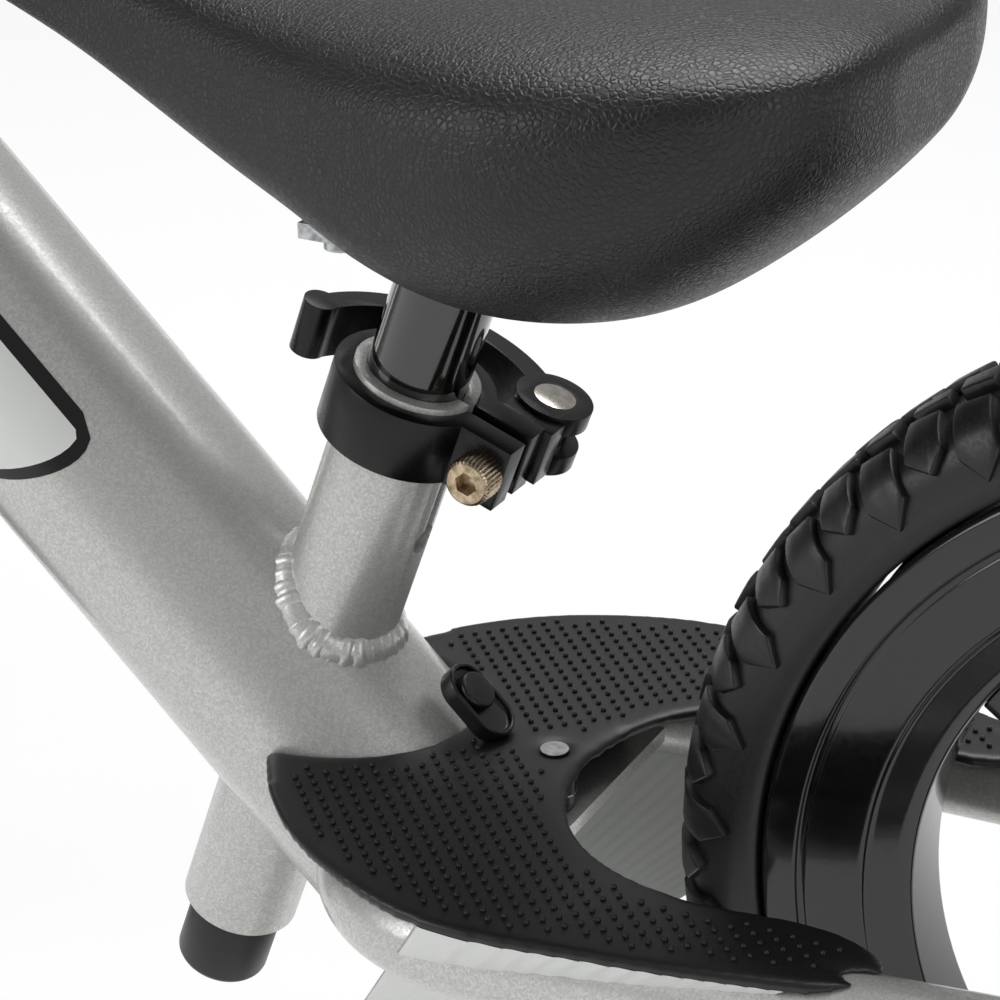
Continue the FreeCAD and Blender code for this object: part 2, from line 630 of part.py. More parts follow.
def make_clamp(prefix, frame, radius, tube_radius):
    """A quick-release collar: split ring with ears, bolt, cup washer, cross pin and cam lever.

    The frame's origin is the tube's top; radius is the alias of the tube's outer radius.
    """
    outer = f"{radius} + fit_gap + collar_wall"
    outer_size = tube_radius + S.fit_gap + S.collar_wall
    low = -S.collar_drop - S.collar_height
    level = -S.collar_drop - S.collar_height / 2
    ear_face = S.ear_gap / 2 + S.ear_thickness
    root = outer_size - 3
    bolt_x = -(root + S.ear_length - S.cam_radius / 2 - 0.5)
    sideways = FreeCAD.Rotation(V(1, 0, 0), -90)

    ring = drawn_tube(prefix + "_ring", outer, f"{radius} + fit_gap", "collar_height",
                      inside(frame, 0, 0, low))
    ears = box(prefix + "_ears", "ear_length", "ear_gap + 2 * ear_thickness", "collar_height",
               inside(frame, -root - S.ear_length, -ear_face, low))
    bore = cylinder(prefix + "_bore", f"{radius} + fit_gap", "collar_height",
                    inside(frame, 0, 0, low))
    gap = box(prefix + "_gap", "ear_length + 8", "ear_gap", "collar_height",
              inside(frame, -root - S.ear_length, -S.ear_gap / 2, low))
    hole = cylinder(prefix + "_hole", "bolt_radius + fit_gap", "4 * ear_thickness",
                    inside(frame, bolt_x, -2 * S.ear_thickness, level, sideways))
    keep(cut(fuse(ring, ears), bore, gap, hole), prefix + "_collar")

    pin_y = -(ear_face + S.cup_thickness + S.cam_radius + S.soft_gap)
    head = cylinder(prefix + "_head", "bolt_head_radius", "bolt_head_height",
                    inside(frame, bolt_x, ear_face, level, sideways))
    socket = primitive("Prism", prefix + "_socket",
                       {"Circumradius": "bolt_radius", "Height": "bolt_head_height / 2"},
                       inside(frame, bolt_x, ear_face + S.bolt_head_height / 2, level, sideways))
    socket.Polygon = 6
    stem = cylinder(prefix + "_stem", "bolt_radius", str(ear_face - pin_y),
                    inside(frame, bolt_x, pin_y, level, sideways))
    keep(cut(fuse(head, stem), socket), prefix + "_clamp_bolt")

    pin_low = level - S.lever_height / 2
    pin = cylinder(prefix + "_pin", "pin_radius", "lever_height", inside(frame, bolt_x, pin_y, pin_low))
    thread = cylinder(prefix + "_thread", "bolt_radius", "pin_radius * 2",
                      inside(frame, bolt_x, pin_y, level, sideways))
    keep(cut(pin, thread), prefix + "_lever_pin")

    cup = box(prefix + "_cup", "cam_radius * 1.5", "cup_thickness + cup_wing", "collar_height - 2",
              inside(frame, bolt_x - S.cam_radius * 0.75,
                     -ear_face - S.cup_thickness - S.cup_wing, low + 1))
    hollow = cylinder(prefix + "_hollow", "cam_radius + soft_gap", "collar_height",
                      inside(frame, bolt_x, pin_y, low))
    cup_hole = cylinder(prefix + "_cup_hole", "bolt_radius + fit_gap", "cam_radius * 2",
                        inside(frame, bolt_x, pin_y, level, sideways))
    keep(cut(cup, hollow, cup_hole), prefix + "_cup_washer")

    cam = cylinder(prefix + "_cam", "cam_radius", "lever_height", inside(frame, bolt_x, pin_y, pin_low))
    start = math.degrees(math.atan2(pin_y, bolt_x)) % 360
    bow = math.hypot(bolt_x, pin_y)
    turn = FreeCAD.Rotation(V(0, 0, 1), start)
    bar_low = pin_low + 1
    sweep = cylinder(prefix + "_arm", f"{bow} + lever_thickness / 2 - 1", "lever_height - 2",
                     inside(frame, 0, 0, bar_low, turn), "lever_sweep")
    sweep_inner = cylinder(prefix + "_arm_inner", f"{bow} - lever_thickness / 2 - 1",
                           "lever_height - 2", inside(frame, 0, 0, bar_low))
    end = math.radians(start + S.lever_sweep)
    tip = cylinder(prefix + "_tip", "lever_thickness * 0.7", "lever_height - 2",
                   inside(frame, bow * math.cos(end), bow * math.sin(end), bar_low))
    bore = cylinder(prefix + "_pin_bore", "pin_radius + fit_gap", "lever_height",
                    inside(frame, bolt_x, pin_y, pin_low))
    slot_turn = FreeCAD.Rotation(V(0, 0, 1), S.slot_turn)
    slot = cylinder(prefix + "_slot", "cam_radius + 1", "lever_slot",
                    inside(frame, bolt_x, pin_y, level - S.lever_slot / 2, slot_turn), "slot_sweep")
    keep(cut(fuse(cam, cut(sweep, sweep_inner), tip), bore, slot), prefix + "_cam_lever")
    return frame.multVec(V(bolt_x, pin_y, level))


# ---------------------------------------------------------------- seat

def saddle_section(x, half_width, bottom, top, squareness=2.6):
    """A rounded cross-section of the saddle at one station."""
    middle, half_height = (bottom + top) / 2, (top - bottom) / 2
    points = []
    for step in range(24):
        angle = math.tau * step / 24
        across, up = math.cos(angle), math.sin(angle)
        points.append(V(x, half_width * math.copysign(abs(across) ** (2 / squareness), across),
                        middle + half_height * math.copysign(abs(up) ** (2 / squareness), up)))
    return Part.Wire([closed_spline(points).toShape()])


def make_cushion():
    """Moulded foam saddle: wide and deep over the post, narrow and raised at the nose."""
    low = SEAT_TOP.z + S.cushion_drop
    rear = SEAT_TOP.x - S.saddle_setback + 3
    widest, nose = S.saddle_width / 2, S.nose_width / 2
    depth = S.saddle_depth
    stations = [
        # share of length, half width, rise of the underside, height of the top
        (0.00, widest * 0.35, depth * 0.98, depth * 1.13),
        (0.04, widest * 0.66, depth * 0.74, depth * 1.22),
        (0.12, widest * 0.88, depth * 0.48, depth * 1.26),
        (0.23, widest, depth * 0.24, depth * 1.24),
        (0.36, widest * 0.99, depth * 0.06, depth * 1.17),
        (0.48, widest * 0.82, 0, depth * 1.12),
        (0.60, widest * 0.62, depth * 0.12, depth * 1.12),
        (0.72, (widest * 0.48 + nose) / 2, depth * 0.34, depth * 1.16),
        (0.86, nose, depth * 0.62, depth * 1.22),
        (0.96, nose * 0.8, depth * 0.82, depth * 1.22),
        (1.00, nose * 0.35, depth * 1.0, depth * 1.14)]
    wires = [saddle_section(rear + share * S.saddle_length, half, low + under, low + over)
             for share, half, under, over in stations]
    return Part.makeLoft(wires, True, False)


def make_seat():
    post_length = "post_depth + post_rise"
    plate_z = (SEAT.multVec(V(0, 0, S.post_rise))).z
    middle = SEAT.multVec(V(0, 0, S.post_rise))
    flat = FreeCAD.Rotation()
    post = drawn_tube("post_tube", POST_TEXT, POST_TEXT + " - post_wall", post_length,
                      inside(SEAT, 0, 0, -S.post_depth))
    plate = box("post_flange", "plate_length", "plate_width", "plate_thickness",
                FreeCAD.Placement(V(middle.x - S.plate_length / 2, -S.plate_width / 2, plate_z), flat))
    trim = box("post_trim", "200", "200", "100",
               FreeCAD.Placement(V(middle.x - 100, -100, plate_z), flat))
    keep(cut(post, trim), "seat_post")
    plug_at = inside(SEAT, 0, 0, -S.post_depth - S.post_plug)
    spigot = POST_TEXT + " - post_wall - fit_gap"
    keep(turned("post_plug_cap", [("0", "0"), (POST_TEXT + " - 1.2", "0"), (POST_TEXT, "1.2"),
                                  (POST_TEXT, "post_plug"), (spigot, "post_plug"),
                                  (spigot, "post_plug + 12"), ("0", "post_plug + 12")],
                plug_at), "seat_post_plug")

    bolts, plate_holes, base_holes = [], [], []
    base_z = plate_z + S.plate_thickness + S.fit_gap
    for along in (-1, 1):
        for across in (-1, 1):
            x = middle.x + along * (S.plate_length / 2 - 8)
            y = across * (S.plate_width / 2 - 7)
            shank_at = FreeCAD.Placement(V(x, y, plate_z), flat)
            head_at = FreeCAD.Placement(V(x, y, plate_z - 3), flat)
            shank = cylinder("saddle_shank", "bolt_radius", "plate_thickness + 7", shank_at)
            head = cylinder("saddle_head", "bolt_radius * 1.8", "3", head_at)
            bolts.append(fuse(shank, head))
            plate_holes.append(cylinder("plate_hole", "bolt_radius + fit_gap", "20", shank_at))
            base_holes.append(cylinder("base_hole", "bolt_radius + fit_gap", "plate_thickness + 7.2",
                                       shank_at))
    keep(group(*bolts), "saddle_bolts")
    keep(cut(plate, *plate_holes), "seat_post_plate")
    base = box("saddle_core", "base_length", "base_width", "base_thickness",
               FreeCAD.Placement(V(middle.x - S.base_length / 2, -S.base_width / 2, base_z), flat))
    keep(cut(base, *base_holes), "saddle_base")

    gap = S.soft_gap
    hollow_low = plate_z - 3.5
    pocket = Part.makeBox(S.plate_length + 2 * gap, S.plate_width + 2 * gap, base_z - hollow_low + 1,
                          V(middle.x - S.plate_length / 2 - gap, -S.plate_width / 2 - gap, hollow_low))
    base_room = Part.makeBox(S.base_length + 2 * gap, S.base_width + 2 * gap,
                             S.base_thickness + 2 * gap,
                             V(middle.x - S.base_length / 2 - gap, -S.base_width / 2 - gap, base_z - gap))
    post_room = Part.makeCylinder(POST_RADIUS + gap, 200, V(0, 0, -S.post_depth / 2))
    post_room.Placement = SEAT.multiply(post_room.Placement)
    above = Part.makeBox(400, 400, 200, V(middle.x - 200, -200, base_z))
    cushion = make_cushion().cut([pocket, base_room, post_room.cut(above)])
    keep(shaped("saddle_foam", cushion), "saddle_cushion")


# ---------------------------------------------------------------- steering

def make_headset():
    """Pressed cups in the head tube's ends, a bearing in each, and the top cap."""
    top = HEAD_BOTTOM + S.head_length
    outer = HEAD_TEXT + " - head_wall - fit_gap"
    inner = HEAD_TEXT + " - head_wall - fit_gap - cup_wall"
    profile = [(inner, "0"), (HEAD_TEXT + " + 2", "0"), (HEAD_TEXT + " + 2", "cup_lip"),
               (outer, "cup_lip"), (outer, "cup_lip + cup_depth"),
               ("steerer_radius + 1", "cup_lip + cup_depth"),
               ("steerer_radius + 1", "cup_lip + cup_depth - 1.5"),
               (inner, "cup_lip + cup_depth - 1.5")]
    low = inside(STEER, 0, 0, HEAD_BOTTOM - S.cup_lip)
    keep(turned("cup_low", profile, low), "headset_lower_cup")
    over = inside(STEER, 0, 0, top + S.cup_lip, FreeCAD.Rotation(V(1, 0, 0), 180))
    keep(turned("cup_high", profile, over), "headset_upper_cup")
    race = f"{inner} - fit_gap"
    keep(drawn_tube("race_low", race, "steerer_radius + fit_gap", "cup_depth",
                    inside(STEER, 0, 0, HEAD_BOTTOM - S.cup_lip + 1)), "headset_lower_bearing")
    keep(drawn_tube("race_high", race, "steerer_radius + fit_gap", "cup_depth",
                    inside(STEER, 0, 0, top + S.cup_lip - 1 - S.cup_depth)), "headset_upper_bearing")
    keep(drawn_tube("cap_ring", HEAD_TEXT + " + 2", "steerer_radius + fit_gap", "cap_height",
                    inside(STEER, 0, 0, top + S.cup_lip + S.face_gap)), "headset_cap")


def make_fork():
    top = HEAD_BOTTOM + S.head_length + S.cup_lip + S.cap_height + S.steerer_top
    length = top - CROWN_BOTTOM
    keep(drawn_tube("steerer_tube", "steerer_radius", "steerer_radius - steerer_wall", str(length),
                    inside(STEER, 0, 0, CROWN_BOTTOM)), "steerer")
    width = 2 * LEG_Y
    block = box("crown_block", "crown_depth", str(width), "crown_height",
                inside(STEER, -S.crown_depth / 2, -width / 2, CROWN_BOTTOM))
    hole = cylinder("crown_hole", "steerer_radius", "crown_height", inside(STEER, 0, 0, CROWN_BOTTOM))
    ends = [cylinder("crown_end", "crown_depth / 2", "crown_height",
                     inside(STEER, 0, side * LEG_Y, CROWN_BOTTOM)) for side in (-1, 1)]
    keep(cut(fuse(block, *ends), hole), "fork_crown")

    frame = inside(STEER, 0, 0, 0)
    plate = dropout_plate("fork_dropout", LEG_Y - S.dropout_thickness / 2, FRONT, S.head_lean,
                          "fork_tab")
    shift = S.fork_rake / 2
    leg = drawn_tube("leg_tube", "leg_radius", "leg_radius - leg_wall",
                     str(CROWN_BOTTOM - S.dropout_radius - 8),
                     inside(frame, shift, LEG_Y, S.dropout_radius + 8))
    leg = cut(leg, plate)
    keep(plate, "left_fork_dropout")
    keep(mirrored(plate), "right_fork_dropout")
    keep(leg, "left_fork_leg")
    keep(mirrored(leg), "right_fork_leg")
    return top


def make_handlebar(top):
    """The bar on its post, which slides in the steerer; grips with bumper ends; a foam pad."""
    bar_at = top + S.bar_rise
    across = FreeCAD.Rotation(V(1, 0, 0), -90)
    outer = "steerer_radius - steerer_wall - post_fit"
    post = drawn_tube("bar_post_tube", outer, outer + " - bar_post_wall", "bar_post_depth + bar_rise",
                      inside(STEER, 0, 0, top - S.bar_post_depth))
    bar = drawn_tube("bar_tube", "bar_radius", "bar_radius - bar_wall", "bar_width",
                     inside(STEER, 0, -S.bar_width / 2, bar_at, across))
    hole = cylinder("bar_room", "bar_radius", "bar_width",
                    inside(STEER, 0, -S.bar_width / 2, bar_at, across))
    keep(cut(post, hole), "handlebar_post")
    keep(bar, "handlebar")

    grip = turned("grip_sleeve", [
        ("bar_radius + fit_gap", "0"), ("grip_radius + 3", "0"), ("grip_radius + 3", "3"),
        ("grip_radius", "5"), ("grip_radius", "grip_length"),
        ("bumper_radius", "grip_length + 2"), ("bumper_radius", "grip_length + bumper_length - 2"),
        ("bumper_radius - 3", "grip_length + bumper_length"), ("0", "grip_length + bumper_length"),
        ("0", "grip_length + bumper_length - 4"),
        ("bar_radius + fit_gap", "grip_length + bumper_length - 4")],
        inside(STEER, 0, S.bar_width / 2 - S.grip_length - S.bumper_length + 4 + S.fit_gap,
               bar_at, across))
    keep(grip, "left_grip")
    keep(mirrored(grip), "right_grip")

    foam = drawn_tube("pad_foam", "pad_radius", "bar_radius + soft_gap", "pad_length",
                      inside(STEER, 0, -S.pad_length / 2, bar_at, across))
    room = cylinder("pad_room", outer + " + soft_gap", "bar_rise",
                    inside(STEER, 0, 0, top))
    keep(cut(foam, room), "bar_pad")


# ---------------------------------------------------------------- the bike

def make_frame():
    make_main_tube()
    make_seat_tube()
    make_weld()
    make_head_tube()
    make_rear_end()
    make_bridge()


def check_objects():
    """Stop before writing anything if an object or a sub-part has failed."""
    failed = [item.Name for item in DOC.Objects
              if "Invalid" in item.State or "Error" in item.State]
    if failed:
        raise RuntimeError("failed objects: " + ", ".join(failed))
    for label, item in PARTS.items():
        if item.Shape.isNull() or not item.Shape.isValid() or not item.Shape.Solids:
            raise RuntimeError("bad shape: " + label)


def main():
    half_rear = S.rear_width / 2 - S.dropout_thickness / 2
    make_wheel("rear", REAR)
    make_axle("rear", REAR, half_rear, "(rear_width - dropout_thickness) / 2")
    make_wheel("front", FRONT)
    make_axle("front", FRONT, LEG_Y - S.dropout_thickness / 2,
              "(tyre_width - dropout_thickness) / 2 + leg_gap + leg_radius")
    make_frame()
    DOC.recompute()
    make_footrest_group()
    pivot = make_clamp("seat", SEAT, "seat_radius", S.seat_radius)
    make_seat()
    make_headset()
    top = make_fork()
    bar_frame = inside(STEER, 0, 0, top)
    bar_pivot = make_clamp("bar", bar_frame, "steerer_radius", S.steerer_radius)
    make_handlebar(top)
    DOC.recompute()
    check_objects()
    os.makedirs("parts", exist_ok=True)
    for label, item in PARTS.items():
        item.Shape.exportStep(f"parts/{label}.step")
    print("written", len(PARTS), "pieces; lever pivots", pivot, bar_pivot, "steering foot", AXLE_FOOT)


main()
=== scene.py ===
# %% [markdown]
# # A child's balance bike
# This lesson finishes a bike whose hard parts come from a CAD model. Each step looks at one
# piece, says what it is on the real bike, and gives it the shape and the finish that the plain
# CAD solid lacks. Sizes are in metres, X points to the front wheel, Y to the rider's left, Z up.

import math

import bpy
from mathutils import Matrix, Vector


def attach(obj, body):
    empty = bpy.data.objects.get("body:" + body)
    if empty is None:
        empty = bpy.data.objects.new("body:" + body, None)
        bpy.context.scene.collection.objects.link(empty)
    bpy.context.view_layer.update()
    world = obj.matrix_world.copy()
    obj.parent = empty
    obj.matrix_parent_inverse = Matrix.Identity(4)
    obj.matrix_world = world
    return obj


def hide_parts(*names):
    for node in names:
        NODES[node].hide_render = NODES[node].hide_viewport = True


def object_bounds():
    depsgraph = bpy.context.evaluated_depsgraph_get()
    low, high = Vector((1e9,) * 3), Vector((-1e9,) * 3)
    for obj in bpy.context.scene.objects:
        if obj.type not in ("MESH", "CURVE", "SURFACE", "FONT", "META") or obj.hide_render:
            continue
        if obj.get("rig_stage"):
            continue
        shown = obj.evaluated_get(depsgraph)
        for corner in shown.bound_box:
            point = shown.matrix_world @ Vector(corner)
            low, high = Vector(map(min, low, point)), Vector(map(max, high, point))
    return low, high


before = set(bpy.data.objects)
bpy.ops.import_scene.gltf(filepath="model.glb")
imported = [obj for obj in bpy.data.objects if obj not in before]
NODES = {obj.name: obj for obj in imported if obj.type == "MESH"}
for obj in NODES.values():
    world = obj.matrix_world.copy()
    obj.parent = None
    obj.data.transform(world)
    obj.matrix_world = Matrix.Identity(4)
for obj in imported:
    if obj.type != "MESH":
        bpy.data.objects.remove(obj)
CAD_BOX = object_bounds()
MM = 0.001
print("CAD nodes", len(NODES), "box", [tuple(round(v, 3) for v in corner) for corner in CAD_BOX])

# %% [markdown]
# The camera comes first, because every later choice is judged through it. It looks from behind
# the left side, down at the saddle post and the footrest, with a long lens that keeps the round
# wheel and the straight tubes free of wide-angle stretch.

# %% Camera
camera_data = bpy.data.cameras.new("portrait")
camera_data.lens = 96.66
camera_data.sensor_width = 36
camera = bpy.data.objects.new("portrait", camera_data)
bpy.context.scene.collection.objects.link(camera)
camera.location = (-0.3586, 0.5204, 0.4905)
look = Vector((0.4326, -0.7987, -0.4184)).normalized()
right = Vector((-0.8814, -0.4723, -0.0096)).normalized()
above = right.cross(look).normalized()
camera.rotation_euler = Matrix((right, above, -look)).transposed().to_euler()
bpy.context.scene.camera = camera
print("camera at", tuple(camera.location), "lens", camera_data.lens)

# %% [markdown]
# Colours are written as the hex values that a paint chart would give. Shaders work in linear
# light, so one function turns a hex value into the linear colour that a node socket wants.
# One more function adds any node with its settings and links, which keeps each material short.

# %% Colour and node helpers
def linear(hex_value):
    """The linear colour of an sRGB hex value such as '#c8c8c4'."""
    parts = [int(hex_value[i:i + 2], 16) / 255 for i in (1, 3, 5)]
    return [p / 12.92 if p <= 0.04045 else ((p + 0.055) / 1.055) ** 2.4 for p in parts] + [1]


def add_node(tree, kind, values=None, links=None, **settings):
    """Add a node; values go on its own sockets, links join other nodes' sockets to them."""
    node = tree.nodes.new(kind)
    for name, value in settings.items():
        setattr(node, name, value)
    for socket, value in (values or {}).items():
        node.inputs[socket].default_value = value
    for socket, source in (links or {}).items():
        tree.links.new(source, node.inputs[socket])
    return node


def new_material(name, base, metallic=0.0, roughness=0.5, **shader):
    """A material with one Principled shader; shader names its other sockets."""
    material = bpy.data.materials.new(name)
    material.use_nodes = True
    tree = material.node_tree
    skin = tree.nodes["Principled BSDF"]
    skin.inputs["Base Color"].default_value = linear(base)
    skin.inputs["Metallic"].default_value = metallic
    skin.inputs["Roughness"].default_value = roughness
    for socket, value in shader.items():
        skin.inputs[socket.replace("_", " ")].default_value = value
    place = add_node(tree, "ShaderNodeTexCoord").outputs["Object"]
    return material, tree, skin, place


def tone(tree, factor, low, high, start=0.0, end=1.0):
    """A colour that runs from low to high as the factor goes from start to end."""
    ramp = add_node(tree, "ShaderNodeValToRGB", links={"Fac": factor})
    ramp.color_ramp.elements[0].position = start
    ramp.color_ramp.elements[1].position = end
    ramp.color_ramp.elements[0].color = linear(low)
    ramp.color_ramp.elements[1].color = linear(high)
    return ramp.outputs["Color"]


def level(tree, factor, low, high, start=0.0, end=1.0):
    """A number that runs from low to high as the factor goes from start to end."""
    reach = add_node(tree, "ShaderNodeMapRange", {"From Min": start, "From Max": end,
                                                  "To Min": low, "To Max": high}, {"Value": factor})
    return reach.outputs["Result"]


def relief(tree, skin, height, millimetres, after=None):
    """Raise the surface by a pattern whose full height is given in millimetres."""
    links = {"Height": height}
    if after is not None:
        links["Normal"] = after
    bump = add_node(tree, "ShaderNodeBump", {"Strength": 1.0, "Distance": millimetres * MM}, links)
    tree.links.new(bump.outputs["Normal"], skin.inputs["Normal"])
    return bump.outputs["Normal"]


def noise(tree, place, millimetres, detail=2.0, rough=0.5):
    """Cloudy noise whose lumps are about the given size."""
    return add_node(tree, "ShaderNodeTexNoise", {"Scale": 1 / (millimetres * MM), "Detail": detail,
                                                 "Roughness": rough}, {"Vector": place}).outputs["Fac"]


def cells(tree, place, millimetres, feature="F1", output="Distance"):
    """Voronoi cells of about the given width."""
    return add_node(tree, "ShaderNodeTexVoronoi", {"Scale": 1 / (millimetres * MM)},
                    {"Vector": place}, feature=feature).outputs[output]


print("mid grey #808080 is", round(linear("#808080")[0], 3), "in linear light")

# %% [markdown]
# The frame is aluminium under a silver pearl powder coat. Powder flows out to a slightly wavy
# skin, and the pearl flakes in it catch the light one by one, so the coat glitters finely. The
# flakes are drawn about 0.5 mm wide, coarser than real ones, so that they still show.

# %% Silver powder coat
def powder_coat(name, base, bright):
    material, tree, skin, place = new_material(name, base, 0.45, 0.36, Coat_Weight=0.5,
                                               Coat_Roughness=0.1)
    flakes = add_node(tree, "ShaderNodeTexVoronoi", {"Scale": 1 / (0.55 * MM)}, {"Vector": place})
    spark = level(tree, flakes.outputs["Color"], 0.0, 1.0, 0.25, 1.0)
    tree.links.new(tone(tree, spark, base, bright), skin.inputs["Base Color"])
    tree.links.new(level(tree, spark, 0.42, 0.27), skin.inputs["Roughness"])
    waves = relief(tree, skin, noise(tree, place, 3.2, 1.0), 0.035)
    relief(tree, skin, flakes.outputs["Distance"], 0.007, waves)
    return material, tree, skin, place


SILVER, _, _, _ = powder_coat("silver_powder_coat", "#bebebb", "#d9d9d6")
WELD, _, _, _ = powder_coat("coated_weld_bead", "#c8c8c4", "#e4e4e0")
WELD.node_tree.nodes["Principled BSDF"].inputs["Coat Weight"].default_value = 0.8
print("powder coats", SILVER.name, WELD.name)

# %% [markdown]
# The clamp is black anodised aluminium: a thin, hard, slightly satin layer grown on machined
# metal. It stays a little metallic, and fine machining keeps its gloss a bit uneven. The seat
# post and handlebar are steel tubes under gloss black enamel, which reflect like wet paint.

# %% Black metals
def fine_black(name, base, light, metallic, rough_low, rough_high, **shader):
    material, tree, skin, place = new_material(name, base, metallic, rough_low, **shader)
    grain = noise(tree, place, 0.5, 3.0)
    tree.links.new(tone(tree, grain, base, light, 0.35, 0.7), skin.inputs["Base Color"])
    tree.links.new(level(tree, noise(tree, place, 9, 3.0), rough_low, rough_high, 0.3, 0.7),
                   skin.inputs["Roughness"])
    relief(tree, skin, grain, 0.006)
    return material


ANODISED = fine_black("black_anodised_aluminium", "#0d0d0f", "#17171a", 0.35, 0.24, 0.34)
ENAMEL = fine_black("gloss_black_enamel", "#060607", "#0a0a0b", 0.0, 0.07, 0.13, Coat_Weight=1.0,
                    Coat_Roughness=0.04)
print("black metals", ANODISED.name, ENAMEL.name)

# %% [markdown]
# Bolts and axles are plated steel. The clamp bolt's nickel plating is warm, and handling leaves
# darker patches in its knurl; the zinc plating on the axle parts is cooler and duller.

# %% Plated steels
def plating(name, base, dull, rough_low, rough_high):
    material, tree, skin, place = new_material(name, base, 1.0, rough_low)
    patches = noise(tree, place, 2.5, 4.0)
    tree.links.new(tone(tree, patches, dull, base, 0.35, 0.6), skin.inputs["Base Color"])
    tree.links.new(level(tree, patches, rough_high, rough_low, 0.3, 0.7), skin.inputs["Roughness"])
    relief(tree, skin, noise(tree, place, 0.4, 2.0), 0.008)
    return material


NICKEL = plating("nickel_plated_steel", "#c9b79c", "#8d7b62", 0.2, 0.4)
ZINC = plating("zinc_plated_steel", "#c4c6c8", "#8f9193", 0.26, 0.42)
SPUN = plating("polished_steel_pin", "#d8d4cc", "#b5aea4", 0.14, 0.24)
print("plated steels", NICKEL.name, ZINC.name, SPUN.name)

# %% [markdown]
# The plastics differ by their mould. The footrest's mould was spark eroded, which leaves a fine
# satin grain; the wheel's mould was polished, so the nylon shines; plugs and the post's end cap
# are plain satin. Rubber and foam scatter more light and look softer.

# %% Plastics and rubber
def moulded(name, base, light, rough_low, rough_high, grain_mm, grain_height, **shader):
    material, tree, skin, place = new_material(name, base, 0.0, rough_low, **shader)
    grain = noise(tree, place, grain_mm, 2.0)
    cloud = noise(tree, place, 18, 3.0)
    tree.links.new(tone(tree, cloud, base, light, 0.3, 0.75), skin.inputs["Base Color"])
    tree.links.new(level(tree, grain, rough_low, rough_high, 0.3, 0.7), skin.inputs["Roughness"])
    relief(tree, skin, grain, grain_height)
    return material


FOOTREST = moulded("spark_eroded_plastic", "#131113", "#1a1719", 0.34, 0.46, 0.45, 0.02)
RIM = moulded("polished_nylon", "#0b0b0c", "#111112", 0.1, 0.17, 1.8, 0.008, Coat_Weight=0.3,
              Coat_Roughness=0.06)
TYRE = moulded("moulded_tyre_foam", "#131314", "#1a1a1b", 0.34, 0.48, 0.8, 0.03)
PLUG = moulded("moulded_plug_rubber", "#0e0e0f", "#161617", 0.26, 0.4, 0.5, 0.01)
CAP = moulded("satin_end_cap", "#111112", "#1a1a1b", 0.34, 0.46, 0.5, 0.015)
GRIP = moulded("ribbed_grip_rubber", "#121213", "#1b1b1c", 0.5, 0.65, 0.6, 0.03)
print("moulded finishes", len([FOOTREST, RIM, TYRE, PLUG, CAP, GRIP]))

# %% [markdown]
# The saddle is foam with a skin formed in the mould. The mould carries a leather grain: small
# rounded pebbles about 1.3 mm across with thin valleys between them. The skin shines a little,
# so low light turns the top satin grey while the flank stays near black.

# %% Saddle skin
def saddle_skin():
    material, tree, skin, place = new_material("grained_foam_skin", "#0b0b0b", 0.0, 0.4,
                                               Specular_IOR_Level=0.5)
    pebbles = level(tree, cells(tree, place, 1.5, "DISTANCE_TO_EDGE"), 0.0, 1.0, 0.0, 0.22)
    creases = level(tree, cells(tree, place, 5.5, "DISTANCE_TO_EDGE"), 0.55, 1.0, 0.0, 0.12)
    grain = add_node(tree, "ShaderNodeMath", {}, {0: pebbles, 1: creases}, operation="MULTIPLY").outputs["Value"]
    # The colour darkens towards the pebble edges and along the creases. This is painted shade in the grain's
    # valleys, with the pebble tops left lighter.
    tree.links.new(tone(tree, grain, "#050505", "#0e0e0f"), skin.inputs["Base Color"])
    tree.links.new(level(tree, grain, 0.52, 0.34), skin.inputs["Roughness"])
    soft = relief(tree, skin, noise(tree, place, 14, 2.0), 0.25)
    relief(tree, skin, grain, 0.10, soft)
    return material


SADDLE = saddle_skin()
print("saddle grain", SADDLE.name)

# %% [markdown]
# ## Ways to make a piece
# Four small helpers cover nearly all the modelling. One wraps a flat grid into any closed or
# open skin, as when a sheet is rolled into a tube. One copies a machined CAD solid and rounds
# its edges, since no real edge is perfectly sharp. One applies a modifier at once. The last
# gives a finished piece its finish, the body it moves with and the CAD nodes it stands for.

# %% Modelling helpers
def clear():
    if bpy.context.object and bpy.context.object.mode != "OBJECT":
        bpy.ops.object.mode_set(mode="OBJECT")
    bpy.ops.object.select_all(action="DESELECT")


def pick(obj):
    clear()
    obj.select_set(True)
    bpy.context.view_layer.objects.active = obj
    return obj


def modify(obj, kind, **settings):
    """Add a modifier and apply it."""
    pick(obj)
    modifier = obj.modifiers.new(kind.title(), kind)
    for name, value in settings.items():
        setattr(modifier, name, value)
    bpy.ops.object.modifier_apply(modifier=modifier.name)
    return obj


def tidy_mesh(obj, angle=40, merge=0.00001):
    """Merge doubles, turn all faces outwards and smooth all but the sharp edges."""
    pick(obj)
    bpy.ops.object.mode_set(mode="EDIT")
    bpy.ops.mesh.select_all(action="SELECT")
    bpy.ops.mesh.remove_doubles(threshold=merge)
    bpy.ops.mesh.normals_make_consistent(inside=False)
    bpy.ops.object.mode_set(mode="OBJECT")
    bpy.ops.object.shade_smooth_by_angle(angle=math.radians(angle))
    return obj


